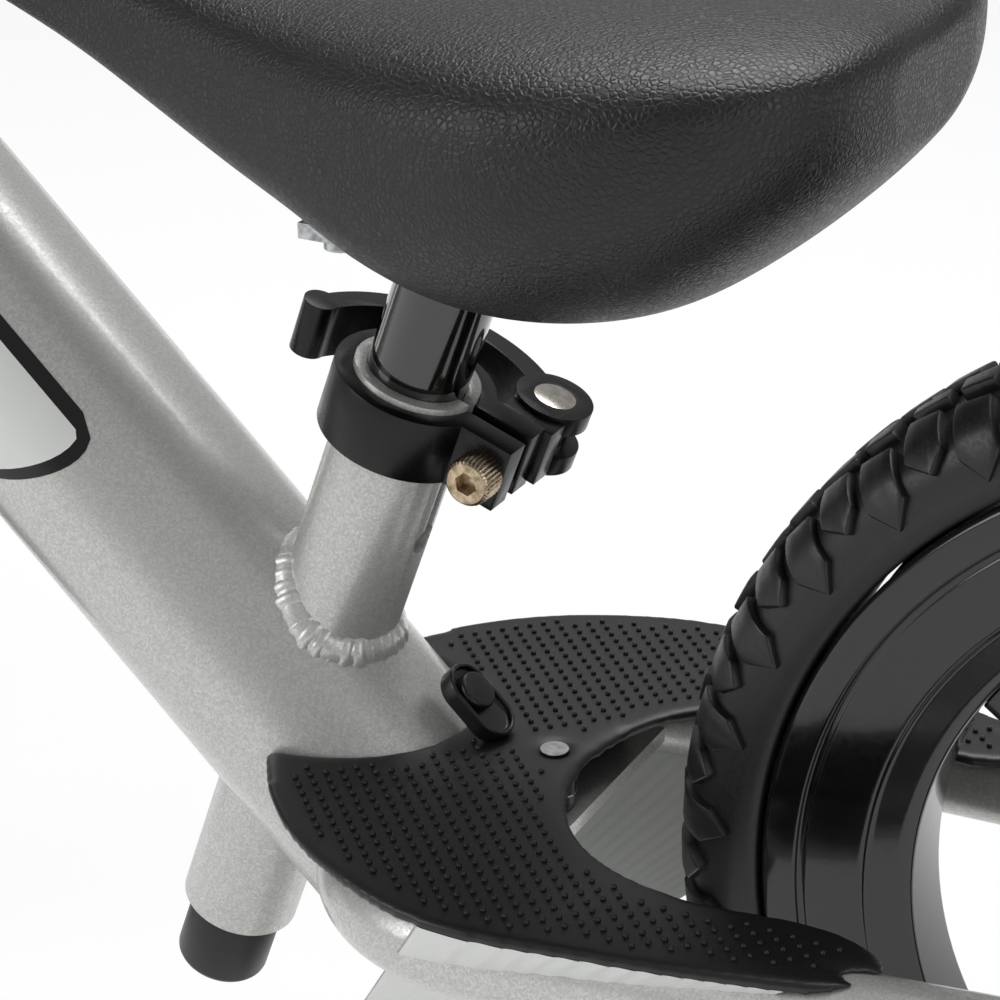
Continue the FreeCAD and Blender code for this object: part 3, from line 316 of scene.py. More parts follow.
def wrap(name, across, around, position, caps=False):
    """A grid of across by around faces whose corner (i, j) goes to position(i, j)."""
    clear()
    bpy.ops.mesh.primitive_grid_add(x_subdivisions=across, y_subdivisions=around, size=1)
    obj = bpy.context.object
    obj.name = obj.data.name = name
    for vertex in obj.data.vertices:
        i = round((vertex.co.x + 0.5) * across)
        j = round((vertex.co.y + 0.5) * around)
        vertex.co = position(i, j)
    tidy_mesh(obj)
    if caps:
        bpy.ops.object.mode_set(mode="EDIT")
        bpy.ops.mesh.select_mode(type="EDGE")
        bpy.ops.mesh.select_all(action="DESELECT")
        bpy.ops.mesh.select_non_manifold()
        bpy.ops.mesh.fill_holes(sides=0)
        bpy.ops.mesh.select_mode(type="FACE")
        bpy.ops.object.mode_set(mode="OBJECT")
        tidy_mesh(obj)
    return obj


def rounded(points, radius, steps=3):
    """The same line of points with each inner corner rounded off."""
    result = [Vector(points[0])]
    for before, corner, after in zip(points, points[1:], points[2:]):
        before, corner, after = Vector(before), Vector(corner), Vector(after)
        back, ahead = before - corner, after - corner
        reach = min(radius, back.length * 0.45, ahead.length * 0.45)
        start, end = corner + back.normalized() * reach, corner + ahead.normalized() * reach
        for step in range(steps + 1):
            share = step / steps
            result.append(start.lerp(corner, share).lerp(corner.lerp(end, share), share))
    return result + [Vector(points[-1])]


def leaning(origin, lean):
    """A frame in millimetres whose Z axis leans back from vertical by lean degrees."""
    turn = Matrix.Rotation(math.radians(-lean), 4, "Y")
    return Matrix.Translation(Vector(origin) * MM) @ turn @ Matrix.Scale(MM, 4)


def crosswise(origin):
    """A frame in millimetres whose Z axis points along +Y."""
    return Matrix.Translation(Vector(origin) * MM) @ Matrix.Rotation(-math.pi / 2, 4, "X") @ Matrix.Scale(MM, 4)


def turned(name, profile, frame_at, segments=96, corner=0.6, closed=True, radius_at=None):
    """A lathe shape: (radius, height) pairs in the frame's millimetres, corners rounded."""
    line = rounded(profile + profile[:1] if closed else profile, corner)

    def position(i, j):
        angle = math.tau * j / segments
        radius = line[i].x if radius_at is None else radius_at(line[i].x, line[i].y, angle)
        return frame_at @ Vector((radius * math.cos(angle), radius * math.sin(angle), line[i].y))
    return wrap(name, len(line) - 1, segments, position)


def softened(node, name, width, segments=2, angle=35):
    """A copy of a CAD solid with its edges rounded."""
    obj = NODES[node].copy()
    obj.data = NODES[node].data.copy()
    for key in [k for k in obj.keys() if k.startswith("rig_")]:
        del obj[key]
    obj.parent = None
    obj.name = obj.data.name = name
    bpy.context.scene.collection.objects.link(obj)
    pick(obj)
    bpy.ops.mesh.customdata_custom_splitnormals_clear()
    bpy.ops.object.mode_set(mode="EDIT")
    bpy.ops.mesh.select_all(action="SELECT")
    bpy.ops.mesh.remove_doubles(threshold=0.000002)
    if width:
        bpy.ops.mesh.dissolve_limited(angle_limit=math.radians(0.5))
    bpy.ops.object.mode_set(mode="OBJECT")
    if width:
        modify(obj, "BEVEL", width=width * MM, segments=segments, limit_method="ANGLE",
               angle_limit=math.radians(angle), use_clamp_overlap=True, harden_normals=False)
    bpy.ops.object.shade_smooth_by_angle(angle=math.radians(30))
    return obj


def join(name, objects):
    clear()
    for obj in objects:
        obj.select_set(True)
    bpy.context.view_layer.objects.active = objects[0]
    bpy.ops.object.join()
    obj = bpy.context.object
    obj.name = obj.data.name = name
    return obj


def copy_of(obj, matrix):
    """Another of the same piece, with its own mesh, moved by the matrix."""
    twin = obj.copy()
    twin.data = obj.data.copy()
    twin.data.transform(matrix)
    if matrix.determinant() < 0:
        twin.data.flip_normals()
    bpy.context.scene.collection.objects.link(twin)
    return twin


def dress(obj, material, slot, body, *nodes):
    """Finish a piece: its material, the body it rides and what it replaces. The slot argument is not used."""
    obj.data.materials.clear()
    obj.data.materials.append(material)
    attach(obj, body)
    if nodes:
        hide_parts(*nodes)
    print(obj.name, len(obj.data.polygons), "faces")
    return obj


print("helpers ready")

# %% [markdown]
# Key places repeat the CAD model's own: the tilted frames of the seat tube, the main tube and
# the steering axis, and the axle lines. They are written once and reused by every piece.

# %% Key places
CROSSING = Vector((-19.4, 0, 150.4))
SEAT = leaning((-54.731, 0, 247.470), 20)
MAIN = leaning(CROSSING, 43.396 - 90)
STEER = leaning((261.456, 0, 142.508), 22)
AXLES = {"rear": (-280, 0, 150), "front": (280, 0, 150)}
MAIN_RADIUS, SEAT_RADIUS = 32, 15.9
TREAD_TOP = 152.9
print("seat tube rises along", tuple(round(v, 3) for v in SEAT.to_3x3() @ Vector((0, 0, 1000))))

# %% [markdown]
# ## Tyres
# The tyre is one piece of closed-cell foam with a bicycle tread: round shoulders carry two
# kinds of shield-shaped lugs that take turns, and a double row of low blocks runs along the
# crown. The carcass is wrapped from its half section. One lug of each kind is cut from a grid,
# raised and bevelled, wrapped onto the section, and then copied round the wheel 34 times.

# %% Tyre carcass
TREAD_UNITS = 34
HALF_SECTION = rounded([(146.9, 0), (146.6, 8), (144.6, 14.2), (141, 19), (136.4, 21.2), (131, 21.4),
                        (127.2, 19.6), (125.6, 17.9), (125.4, 15.5)], 3.0, 4)
REACH = [0.0]
for here, there in zip(HALF_SECTION, HALF_SECTION[1:]):
    REACH.append(REACH[-1] + (there - here).length)


def on_section(run):
    """The point and outward normal of the half section at a distance from the crown."""
    run = max(0.0, min(run, REACH[-1] - 0.001))
    k = max(i for i in range(len(REACH) - 1) if REACH[i] <= run)
    here, there = HALF_SECTION[k], HALF_SECTION[k + 1]
    share = (run - REACH[k]) / (REACH[k + 1] - REACH[k])
    along = (there - here).normalized()
    return here.lerp(there, share), Vector((along.y, -along.x))


def make_carcass(name, centre):
    mirror_half = [Vector((p.x, -p.y)) for p in HALF_SECTION[:0:-1]]
    section = mirror_half + HALF_SECTION
    segments = 204
    at = crosswise(centre)

    def position(i, j):
        angle = math.tau * j / segments
        p = section[i % len(section)]
        return at @ Vector((p.x * math.cos(angle), p.x * math.sin(angle), p.y))
    return wrap(name, len(section), segments, position)


print("section reach", round(REACH[-1], 1), "mm from the crown to the bead")

# %% Tread lugs
def lug(name, corners, height, wrap_side, foot=-0.6):
    """One lug: a grid between four (along, reach) corners, raised, tapered and bevelled."""
    nu, nv = 3, 5
    a, b, c, d = [Vector(p) for p in corners[:4]]
    point = Vector(corners[4]) if len(corners) > 4 else None

    def flat(i, j):
        u, v = i / nu, j / nv
        p = a.lerp(b, u).lerp(d.lerp(c, u), v)
        if point is not None and j == nv:
            middle = 1 - abs(2 * u - 1)
            p = p.lerp(point, min(1.0, middle * 1.5))
        return Vector((p.x, p.y, 0))
    clear()
    bpy.ops.mesh.primitive_grid_add(x_subdivisions=nu, y_subdivisions=nv, size=1)
    obj = bpy.context.object
    obj.name = name
    for vertex in obj.data.vertices:
        vertex.co = flat(round((vertex.co.x + 0.5) * nu), round((vertex.co.y + 0.5) * nv))
    bpy.ops.object.mode_set(mode="EDIT")
    bpy.ops.mesh.select_all(action="SELECT")
    bpy.ops.mesh.extrude_region_move(TRANSFORM_OT_translate={"value": (0, 0, height - foot)})
    bpy.ops.transform.resize(value=(0.93, 0.95, 1))
    bpy.ops.mesh.select_all(action="SELECT")
    bpy.ops.mesh.normals_make_consistent(inside=False)
    bpy.ops.object.mode_set(mode="OBJECT")
    modify(obj, "BEVEL", width=0.55, segments=2, limit_method="ANGLE", angle_limit=math.radians(35))
    for vertex in obj.data.vertices:
        run, up = vertex.co.y, vertex.co.z + foot
        p, out = on_section(abs(run))
        out = Vector((out.x, out.y))
        angle = vertex.co.x / 147
        radius, side = p.x + out.x * up, p.y + out.y * up
        side = side if run >= 0 else -side
        vertex.co = (radius * math.cos(angle), radius * math.sin(angle), side * wrap_side)
    return obj


def make_unit():
    """One pitch of the tread on both sides of the crown."""
    lugs = []
    for side in (1, -1):
        shift = 0 if side == 1 else 6.8
        kinds = [
            ("long_lug", [(-12.6, 12.4), (-2.6, 10.8), (-1.6, 24.0), (-12.8, 25.4), (-6.4, 30.5)], 2.1),
            ("short_lug", [(1.0, 9.6), (10.4, 8.4), (11.6, 20.0), (0.6, 20.6), (5.6, 24.6)], 2.3),
            ("crown_block", [(-12.4, 1.3), (-2.0, 0.6), (-3.2, 7.6), (-13.0, 9.4)], 2.9),
            ("crown_step", [(0.6, 0.9), (11.4, 1.4), (10.2, 6.6), (-0.6, 7.4)], 2.7)]
        for name, corners, height in kinds:
            corners = [(x + shift, y) for x, y in corners]
            piece = lug(name, corners, height, side)
            if side == -1:
                piece.data.flip_normals()
            lugs.append(piece)
    return join("tread_unit", lugs)


def make_tyres():
    unit = make_unit()
    turns = [Matrix.Rotation(math.tau * k / TREAD_UNITS, 4, "Z") for k in range(TREAD_UNITS)]
    tread = join("tread_ring", [copy_of(unit, turn) for turn in turns])
    bpy.data.objects.remove(unit)
    pick(tread)
    bpy.ops.object.shade_smooth_by_angle(angle=math.radians(35))
    for side, centre in AXLES.items():
        ring = copy_of(tread, crosswise(centre))
        carcass = make_carcass(side + "_carcass", centre)
        tyre = join(side + "_foam_tyre", [carcass, ring])
        dress(tyre, TYRE, "tyre_foam", side + "_wheel", side + "_tyre")
    bpy.data.objects.remove(tread)


make_tyres()

# %% [markdown]
# ## Wheels
# The wheel is moulded in one piece of polished nylon. Its face steps inwards from the lip: a
# light band that holds the bead, a groove, a flat dark band, a sloping band, and the round edge
# of the bore. A lathe profile gives all of it, because every step follows the rim's circle.

# %% Rims, spokes and hubs
def make_wheel(side, centre):
    face = [(124.6, 17.6), (123.4, 18.8), (116.4, 18.0), (115.9, 16.6), (114.6, 16.6), (114.0, 17.0),
            (101.0, 15.4), (100.0, 13.6), (93.0, 11.6), (90.2, 9.4)]
    back = [(radius, -height) for radius, height in reversed(face)]
    channel = [(124.6, -14.6), (112.8, -14.2), (112.8, 14.2), (124.6, 14.6)]
    rim = turned(side + "_nylon_rim", face + back + channel, crosswise(centre), 144, 0.9)
    dress(rim, RIM, "rim_plastic", side + "_wheel", side + "_rim")
    spokes = softened(side + "_spokes", side + "_nylon_spokes", 2.6, 3)
    dress(spokes, RIM, "rim_plastic", side + "_wheel", side + "_spokes")
    hub_profile = [(11.1, 30), (11.1, 24), (9.1, 23.9), (9.1, -23.9), (11.1, -24), (11.1, -30),
                   (15.4, -30), (17, -28.4), (17, -13), (20.5, -6.5), (20.5, 6.5), (17, 13), (17, 28.4),
                   (15.4, 30)]
    hub = turned(side + "_nylon_hub", hub_profile, crosswise(centre), 64, 0.8)
    dress(hub, RIM, "rim_plastic", side + "_wheel", side + "_hub")


for side, centre in AXLES.items():
    make_wheel(side, centre)

# %% [markdown]
# ## Saddle
# The saddle is a moulded foam shell. Seen from above it is a broad tail that narrows to a long
# nose; seen from the side its belly hangs lowest over the post. Rows of rounded sections,
# one for each place along it, are wrapped into a skin and smoothed by subdivision.

# %% Saddle
SADDLE_ROWS = [
    # x, half width, belly, crown, height share of the widest line
    (-181, 24, 324, 346, 0.62), (-177.5, 42, 319.5, 350, 0.66), (-169, 57, 310, 352, 0.68),
    (-154, 67.5, 296.5, 353, 0.68), (-135, 73, 283.5, 352.5, 0.66), (-112, 74, 277, 351, 0.64),
    (-88, 69, 276, 349, 0.62), (-66, 61, 280.5, 347, 0.61), (-46, 51.5, 288, 346, 0.60),
    (-24, 42.5, 296, 346, 0.60), (0, 33.5, 306, 347, 0.60), (26, 27, 318.5, 349, 0.60),
    (52, 24, 330, 350.5, 0.60), (70, 21, 337.5, 350.5, 0.60), (80, 15, 343, 349, 0.60)]
BETWEEN = 4


def saddle_row(i):
    """Row i of the skin, on a smooth curve through the rows above."""
    k, share = divmod(i / BETWEEN, 1)
    k = min(int(k), len(SADDLE_ROWS) - 2)
    share = i / BETWEEN - k
    rows = [SADDLE_ROWS[max(0, min(len(SADDLE_ROWS) - 1, k + step))] for step in (-1, 0, 1, 2)]
    return [b + share * ((c - a) / 2 + share * (a - 2.5 * b + 2 * c - d / 2 + share * (1.5 * (b - c) + (d - a) / 2)))
            for a, b, c, d in zip(*rows)]


def saddle_point(row, angle):
    x, half, belly, crown, share = row
    middle = belly + (crown - belly) * share
    across, up = math.cos(angle), math.sin(angle)
    tall = crown - middle if up > 0 else middle - belly
    power = 0.52 if up > 0 else 0.86
    side = 0.66 if up > 0 else 0.95
    y = half * math.copysign(abs(across) ** side, across)
    dish = 1.5 * math.exp(-(y / 14) ** 2) if up > 0 else 0.0
    return Vector((x, y, middle + tall * math.copysign(abs(up) ** power, up) - dish)) * MM


def make_saddle():
    steps = 96
    rows = (len(SADDLE_ROWS) - 1) * BETWEEN
    obj = wrap("foam_saddle", rows, steps, lambda i, j: saddle_point(saddle_row(i), math.tau * (j % steps) / steps))
    bpy.ops.object.mode_set(mode="EDIT")
    bpy.ops.mesh.select_mode(type="EDGE")
    bpy.ops.mesh.select_all(action="DESELECT")
    bpy.ops.mesh.select_non_manifold()
    bpy.ops.mesh.edge_face_add()
    bpy.ops.mesh.select_mode(type="FACE")
    bpy.ops.mesh.inset(thickness=0.002)
    bpy.ops.mesh.select_all(action="SELECT")
    bpy.ops.mesh.normals_make_consistent(inside=False)
    bpy.ops.object.mode_set(mode="OBJECT")
    modify(obj, "SMOOTH", factor=0.5, iterations=6)
    modify(obj, "SUBSURF", levels=1, render_levels=1)
    bpy.ops.object.shade_smooth()
    dress(obj, SADDLE, "saddle_skin", "seat", "saddle_cushion", "saddle_base")
    return obj


saddle = make_saddle()

# %% [markdown]
# ## Weld beads
# A welder lays the bead as a row of small molten puddles, so it sets as overlapping scales like
# a stack of tipped coins. The path is where the two tube surfaces meet. A smooth fillet is
# wrapped along it first, then one flattened scale is modelled and copied along the path.

# %% Weld path
def weld_point(angle, out=0.0, upper=1):
    """Where the seat tube's wall, grown by out, meets the main tube's surface."""
    up = Vector((-math.sin(math.radians(20)), 0, math.cos(math.radians(20))))
    ahead = Vector((up.z, 0, -up.x))
    run = Vector((math.cos(math.radians(43.396)), 0, math.sin(math.radians(43.396))))
    radial = ahead * math.cos(angle) + Vector((0, 1, 0)) * math.sin(angle)
    spoke = radial * (SEAT_RADIUS + out)
    a = up - run * up.dot(run)
    b = spoke - run * spoke.dot(run)
    inner = b.dot(a)
    root = math.sqrt(max(0.0, inner ** 2 - a.dot(a) * (b.dot(b) - (MAIN_RADIUS + out) ** 2)))
    rise = (-inner + upper * root) / a.dot(a)
    foot = CROSSING + spoke + up * rise
    flat = spoke + up * rise
    surface = (flat - run * flat.dot(run)).normalized()
    return foot, radial, surface


def bead_frame(angle, upper, step=0.02):
    """Place, direction, outward side and width side of the bead at an angle."""
    foot, radial, surface = weld_point(angle, 0, upper)
    ahead, _, _ = weld_point(angle + step, 0, upper)
    along = (ahead - foot).normalized()
    out = (radial + surface).normalized()
    out = (out - along * out.dot(along)).normalized()
    return foot, along, out, out.cross(along).normalized()


print("weld starts at", tuple(round(v, 1) for v in weld_point(0)[0]))

# %% Fish-scale bead
def scale_seed():
    """One puddle: a low dome, steeper at its front edge."""
    clear()
    bpy.ops.mesh.primitive_uv_sphere_add(segments=14, ring_count=8, radius=1)
    obj = bpy.context.object
    for vertex in obj.data.vertices:
        lift = 1 - 0.35 * vertex.co.x
        vertex.co = (vertex.co.x * 2.5, vertex.co.y * 4.4, vertex.co.z * 2.3 * lift)
    bpy.ops.object.shade_smooth()
    return obj


def make_bead(name, upper, spacing, sink, size):
    segments = 160

    def position(i, j):
        foot, along, out, side = bead_frame(math.tau * i / segments, upper)
        turn = math.tau * j / 12
        return (foot + side * math.cos(turn) * 3.6 * size + out * (math.sin(turn) * 2.3 * size - sink)) * MM
    pieces = [wrap(name + "_fillet", segments, 12, position)]
    seed = scale_seed()
    angle, travelled, last = 0.0, spacing, None
    while angle < math.tau - 0.01:
        foot, along, out, side = bead_frame(angle, upper)
        travelled += 0 if last is None else (foot - last).length
        last = foot
        if travelled >= spacing:
            travelled = 0.0
            wobble = 1 + 0.07 * math.sin(angle * 23.0) + 0.05 * math.sin(angle * 41.0)
            base = Matrix((along, side, out)).transposed().to_4x4()
            at = Matrix.Translation((foot - out * sink) * MM) @ base @ Matrix.Scale(MM * wobble * size, 4)
            pieces.append(copy_of(seed, at))
        angle += 0.01
    bpy.data.objects.remove(seed)
    return join(name, pieces)


beads = join("weld_beads", [make_bead("upper_bead", 1, 3.2, 0.3, 1.3),
                            make_bead("lower_bead", -1, 2.6, 0.9, 0.95)])
dress(beads, WELD, "bare_weld", "frame", "seat_weld")

# %% [markdown]
# ## Footrest
# The footrest is one injection moulding. Plastic shrinks away from sharp corners, so every edge
# and root is rounded. The CAD shell is remeshed into even small faces and smoothed, which rounds
# all of it at once, and the boss flows into the tread as it does on the real part.

# %% Footrest shell
def make_shell():
    obj = softened("footrest_plate", "moulded_footrest", 0)
    modify(obj, "REMESH", mode="VOXEL", voxel_size=1.15 * MM, use_smooth_shade=True)
    group = obj.vertex_groups.new(name="root")
    for vertex in obj.data.vertices:
        x, y, z = (c / MM for c in vertex.co)
        near = math.hypot((x + 52) / 1.15, y) < 48 and 151 < z < 163
        group.add([vertex.index], 1.0 if near else 0.0, "REPLACE")
    modify(obj, "SMOOTH", factor=0.5, iterations=5)
    modify(obj, "SMOOTH", factor=0.5, iterations=34, vertex_group="root")
    bpy.ops.object.shade_smooth()
    return obj


shell = make_shell()
dress(shell, FOOTREST, "footrest_plastic", "frame", "footrest_plate")

# %% Raised dots
DOT_STEP = 2.76


def level_ground(x, y, reach=4.6):
    """True where the tread is flat for a few millimetres all round."""
    places = [(0, 0)] + [(math.cos(a) * reach, math.sin(a) * reach)
                         for a in (math.tau * k / 8 for k in range(8))]
    for dx, dy in places:
        start = Vector((x + dx, y + dy, 260)) * MM
        hit, where, _, _ = shell.ray_cast(start, Vector((0, 0, -1)))
        if not hit or abs(where.z / MM - 152.8) > 0.65:
            return False
    return math.hypot(x + 91.6, y) > 7


def make_dots():
    clear()
    bpy.ops.mesh.primitive_uv_sphere_add(segments=8, ring_count=6, radius=1)
    seed = bpy.context.object
    bpy.ops.object.mode_set(mode="EDIT")
    bpy.ops.mesh.select_all(action="SELECT")
    bpy.ops.mesh.bisect(plane_co=(0, 0, -0.35), plane_no=(0, 0, -1), clear_outer=True, use_fill=False)
    bpy.ops.object.mode_set(mode="OBJECT")
    bpy.ops.object.shade_smooth()
    dots = []
    for i in range(-60, 22):
        for j in range(0, 34):
            if (i + j) % 2:
                continue
            x, y = -58.1 + DOT_STEP * i, 3.5 + DOT_STEP * j
            if not level_ground(x, y):
                continue
            for side in (1, -1):
                at = Matrix.Translation(Vector((x, y * side, TREAD_TOP - 0.25)) * MM)
                size = Matrix.Diagonal((0.76 * MM, 0.76 * MM, 0.9 * MM, 1))
                dots.append(copy_of(seed, at @ size))
    bpy.data.objects.remove(seed)
    print("dots", len(dots))
    return join("tread_dots", dots)


dress(make_dots(), FOOTREST, "footrest_plastic", "frame")

# %% Plug, button and screw
plug = softened("footrest_plug", "slot_plug", 0.7, 3)
dress(plug, PLUG, "plug_rubber", "frame", "footrest_plug")
button = softened("footrest_button", "plug_button", 0.8, 3)
dress(button, PLUG, "plug_rubber", "frame", "footrest_button")

# %% [markdown]
# ## Printed strips
# Two generic printed strips dress the bike: one on the footrest's skirt and one on the main
# tube. A sticker is a thin film, so each is a strip laid a tenth of a millimetre off the surface
# below it. Its own UV map holds millimetres along and up, which the halftone dots follow.

# %% Strip print
def strip_print(name, length, height, fade_start, fade_end):
    """White border, black field, and halftone dots that grow until the field is white."""
    material, tree, skin, _ = new_material(name, "#0a0a0b", 0.0, 0.28)
    uv = add_node(tree, "ShaderNodeUVMap", uv_map="strip").outputs["UV"]
    parts = add_node(tree, "ShaderNodeSeparateXYZ", links={"Vector": uv})
    turn = add_node(tree, "ShaderNodeMapping", {"Rotation": (0, 0, math.radians(45)),
                                                "Scale": (1 / 0.75, 1 / 0.75, 1)}, {"Vector": uv})
    checks = add_node(tree, "ShaderNodeTexVoronoi", {"Scale": 1.0, "Randomness": 0.0},
                      {"Vector": turn.outputs["Vector"]}, voronoi_dimensions="2D")
    grown = level(tree, parts.outputs["X"], 0.0, 0.74, fade_start, fade_end)
    dots = add_node(tree, "ShaderNodeMath", {}, {0: checks.outputs["Distance"], 1: grown},
                    operation="LESS_THAN").outputs["Value"]
    edge = add_node(tree, "ShaderNodeAttribute", attribute_name="edge").outputs["Fac"]
    border = add_node(tree, "ShaderNodeMath", {1: 0.5}, {0: edge}, operation="GREATER_THAN").outputs["Value"]
    white = add_node(tree, "ShaderNodeMath", {}, {0: dots, 1: border}, operation="MAXIMUM").outputs["Value"]
    tree.links.new(tone(tree, white, "#0c0c0d", "#e4e6e3"), skin.inputs["Base Color"])
    relief(tree, skin, noise(tree, add_node(tree, "ShaderNodeTexCoord").outputs["Object"], 4), 0.01)
    return material


def lay_strip(name, columns, rows, place_of, coords_of, edge_of):
    """A strip whose places, millimetre coordinates and border come from three functions."""
    obj = wrap(name, columns, rows, place_of)
    layer = obj.data.uv_layers.new(name="strip")
    spots = {}
    for i in range(columns + 1):
        for j in range(rows + 1):
            spots[tuple(round(c, 6) for c in place_of(i, j))] = (i, j)
    edge = obj.data.attributes.new("edge", "FLOAT", "POINT")
    index = {}
    for vertex in obj.data.vertices:
        key = min(spots, key=lambda s: (Vector(s) - vertex.co).length_squared)
        index[vertex.index] = spots[key]
        edge.data[vertex.index].value = edge_of(*spots[key])
    for loop in obj.data.loops:
        layer.data[loop.index].uv = coords_of(*index[loop.vertex_index])
    for other in [l for l in obj.data.uv_layers if l.name != "strip"]:
        obj.data.uv_layers.remove(other)
    return obj


SKIRT_COLUMNS, SKIRT_ROWS = 96, 12


def skirt_levels(x):
    """Lowest and highest line of the skirt strip, with a rounded lower front corner."""
    high = 150.0
    start, turn = -89.5, 26.0
    share = min(1.0, max(0.0, (start - x) / turn))
    low = 136.6 + (high - 136.6) * (1 - math.sqrt(1 - (1 - share) ** 2))
    return low, high


def skirt_column(i):
    share = i / SKIRT_COLUMNS
    return -89.5 - 92 * (share ** 1.25)


def skirt_place(i, j, cache={}):
    if (i, j) not in cache:
        x = skirt_column(i)
        low, high = skirt_levels(x)
        z = low + (high - low) * j / SKIRT_ROWS
        start = Vector((x, 140, z)) * MM
        hit, where, normal, _ = shell.ray_cast(start, Vector((0, -1, 0)))
        cache[(i, j)] = where + Vector((normal.x, normal.y, 0)).normalized() * 0.16 * MM
    return cache[(i, j)]


def skirt_coords(i, j):
    x = skirt_column(i)
    low, high = skirt_levels(x)
    return (-89.5 - x, low + (high - low) * j / SKIRT_ROWS - 136)


def skirt_edge(i, j):
    return 1.0 if j in (0, SKIRT_ROWS) or i <= 1 else 0.0


SKIRT_PRINT = strip_print("halftone_skirt_print", 92, 14, 16, 40)
for side, sign in (("left", 1), ("right", -1)):
    strip = lay_strip(side + "_skirt_strip", SKIRT_COLUMNS, SKIRT_ROWS, skirt_place, skirt_coords,
                      skirt_edge)
    if sign == -1:
        strip.data.transform(Matrix.Diagonal((1, -1, 1, 1)))
        strip.data.flip_normals()
    dress(strip, SKIRT_PRINT, "footrest_plastic", "frame")

# %% Main tube strip
def tube_patch(t, turn, lift=0.12):
    """A point on the main tube's skin: t along it from the crossing, turn round it from its left."""
    radius = MAIN_RADIUS + lift
    return MAIN @ Vector((-radius * math.sin(turn), radius * math.cos(turn), t))


TUBE_COLUMNS, TUBE_ROWS = 60, 16


def tube_place(i, j):
    along, up = i / TUBE_COLUMNS, j / TUBE_ROWS
    turn = math.radians(-34 + 80 * up)
    start = 80 + 26 * (1 - up) ** 2 + 10 * (1 - math.sqrt(max(0.0, 1 - (2 * up - 1) ** 4)))
    return tube_patch(start + (232 - start) * along, turn)


def tube_coords(i, j):
    return (i / TUBE_COLUMNS * 130, j / TUBE_ROWS * 34)


def tube_edge(i, j):
    return 1.0 if 2 <= j <= TUBE_ROWS - 2 and i > 1 else 0.0


TUBE_PRINT = strip_print("band_print", 130, 34, 900, 1000)
for side, sign in (("left", 1), ("right", -1)):
    band = lay_strip(side + "_tube_band", TUBE_COLUMNS, TUBE_ROWS, tube_place, tube_coords, tube_edge)
    if sign == -1:
        band.data.transform(Matrix.Diagonal((1, -1, 1, 1)))
        band.data.flip_normals()
    dress(band, TUBE_PRINT, "silver_paint", "frame")

# %% [markdown]
# ## Quick-release clamps
# Each clamp is milled from bar stock, then tumbled and anodised, so all its edges carry a small
# bright chamfer. The CAD solids already have the machined form, and a bevel breaks the edges.
# The bolt's head is knurled: straight ridges pressed all round give the fingers a grip.

# %% Knurled bolt
KNURLS = 34


def knurled_head(name, frame_at, x, y_start, level):
    """A socket head: ridges on the side, a chamfered rim and a hexagonal hole."""
    hexagon = 3.0
    profile = [(0.0, 5.0), (hexagon, 5.0), (hexagon, 8.0), (5.0, 8.0), (5.7, 7.4), (6.0, 6.7), (6.0, 0.9),
               (5.6, 0.0), (0.0, 0.0)]
    segments = KNURLS * 6
    at = frame_at @ Matrix.Translation((x, y_start, level)) @ Matrix.Rotation(-math.pi / 2, 4, "X")

    def position(i, j):
        angle = math.tau * j / segments
        radius, height = profile[i]
        if i in (1, 2):
            radius = hexagon * math.cos(math.pi / 6) / math.cos((angle % (math.pi / 3)) - math.pi / 6)
        if i in (5, 6):
            radius -= 0.24 + 0.24 * math.cos(KNURLS * angle)
        return at @ Vector((radius * math.cos(angle), radius * math.sin(angle), height))
    return wrap(name, len(profile) - 1, segments, position)


def make_bolt(prefix, frame_at, body, outer):
    root = outer - 3
    x = -(root + 15 - 10 / 2 - 0.5)
    level = -1.5 - 17 / 2
    face = 3.5 / 2 + 7.2
    head = knurled_head(prefix + "_knurled_head", frame_at, x, face, level)
    stem_at = frame_at @ Matrix.Translation((x, 0, level)) @ Matrix.Rotation(-math.pi / 2, 4, "X")
    stem = turned(prefix + "_stem", [(0.01, -23.4), (2.2, -23.4), (2.5, -22.9), (2.5, face), (0.01, face)],
                  stem_at, 32, 0.3, closed=False)
    bolt = join(prefix + "_bolt", [head, stem])
    dress(bolt, NICKEL, "nickel_steel", body, prefix + "_clamp_bolt")


BAR_TOP = STEER @ Matrix.Translation((0, 0, 155 + 13 + 0.1 + 3 + 84 + 3 + 5 + 32))
make_bolt("seat", SEAT, "frame", 15.9 + 0.05 + 4.6)
make_bolt("bar", BAR_TOP, "fork", 12.7 + 0.05 + 4.6)

# %% Collars, washers, levers and pins
for prefix, body in (("seat", "frame"), ("bar", "fork")):
    dress(softened(prefix + "_collar", prefix + "_split_collar", 0.55), ANODISED, "black_anodised", body,
          prefix + "_collar")
    dress(softened(prefix + "_cup_washer", prefix + "_saddle_washer", 0.5), ANODISED, "black_anodised",
          body, prefix + "_cup_washer")
    dress(softened(prefix + "_lever_pin", prefix + "_cross_pin", 0.45), SPUN, "bright_steel", body,
          prefix + "_lever_pin")
    dress(softened(prefix + "_cam_lever", prefix + "_lever", 0.7, 3), ANODISED, "black_anodised",
          prefix + "_lever", prefix + "_cam_lever")

# %% [markdown]
# ## Bar, grips and pad
# Each grip is a rubber sleeve with ribs for the fingers, an inner flange and a soft ball end
# that guards the hand in a fall. The pad is foam in a fabric sleeve: it swells between its tied
# ends. Both are lathe shapes about the bar, with the ribs and the swelling in the profile.

# %% Grips
BAR_Z = 118


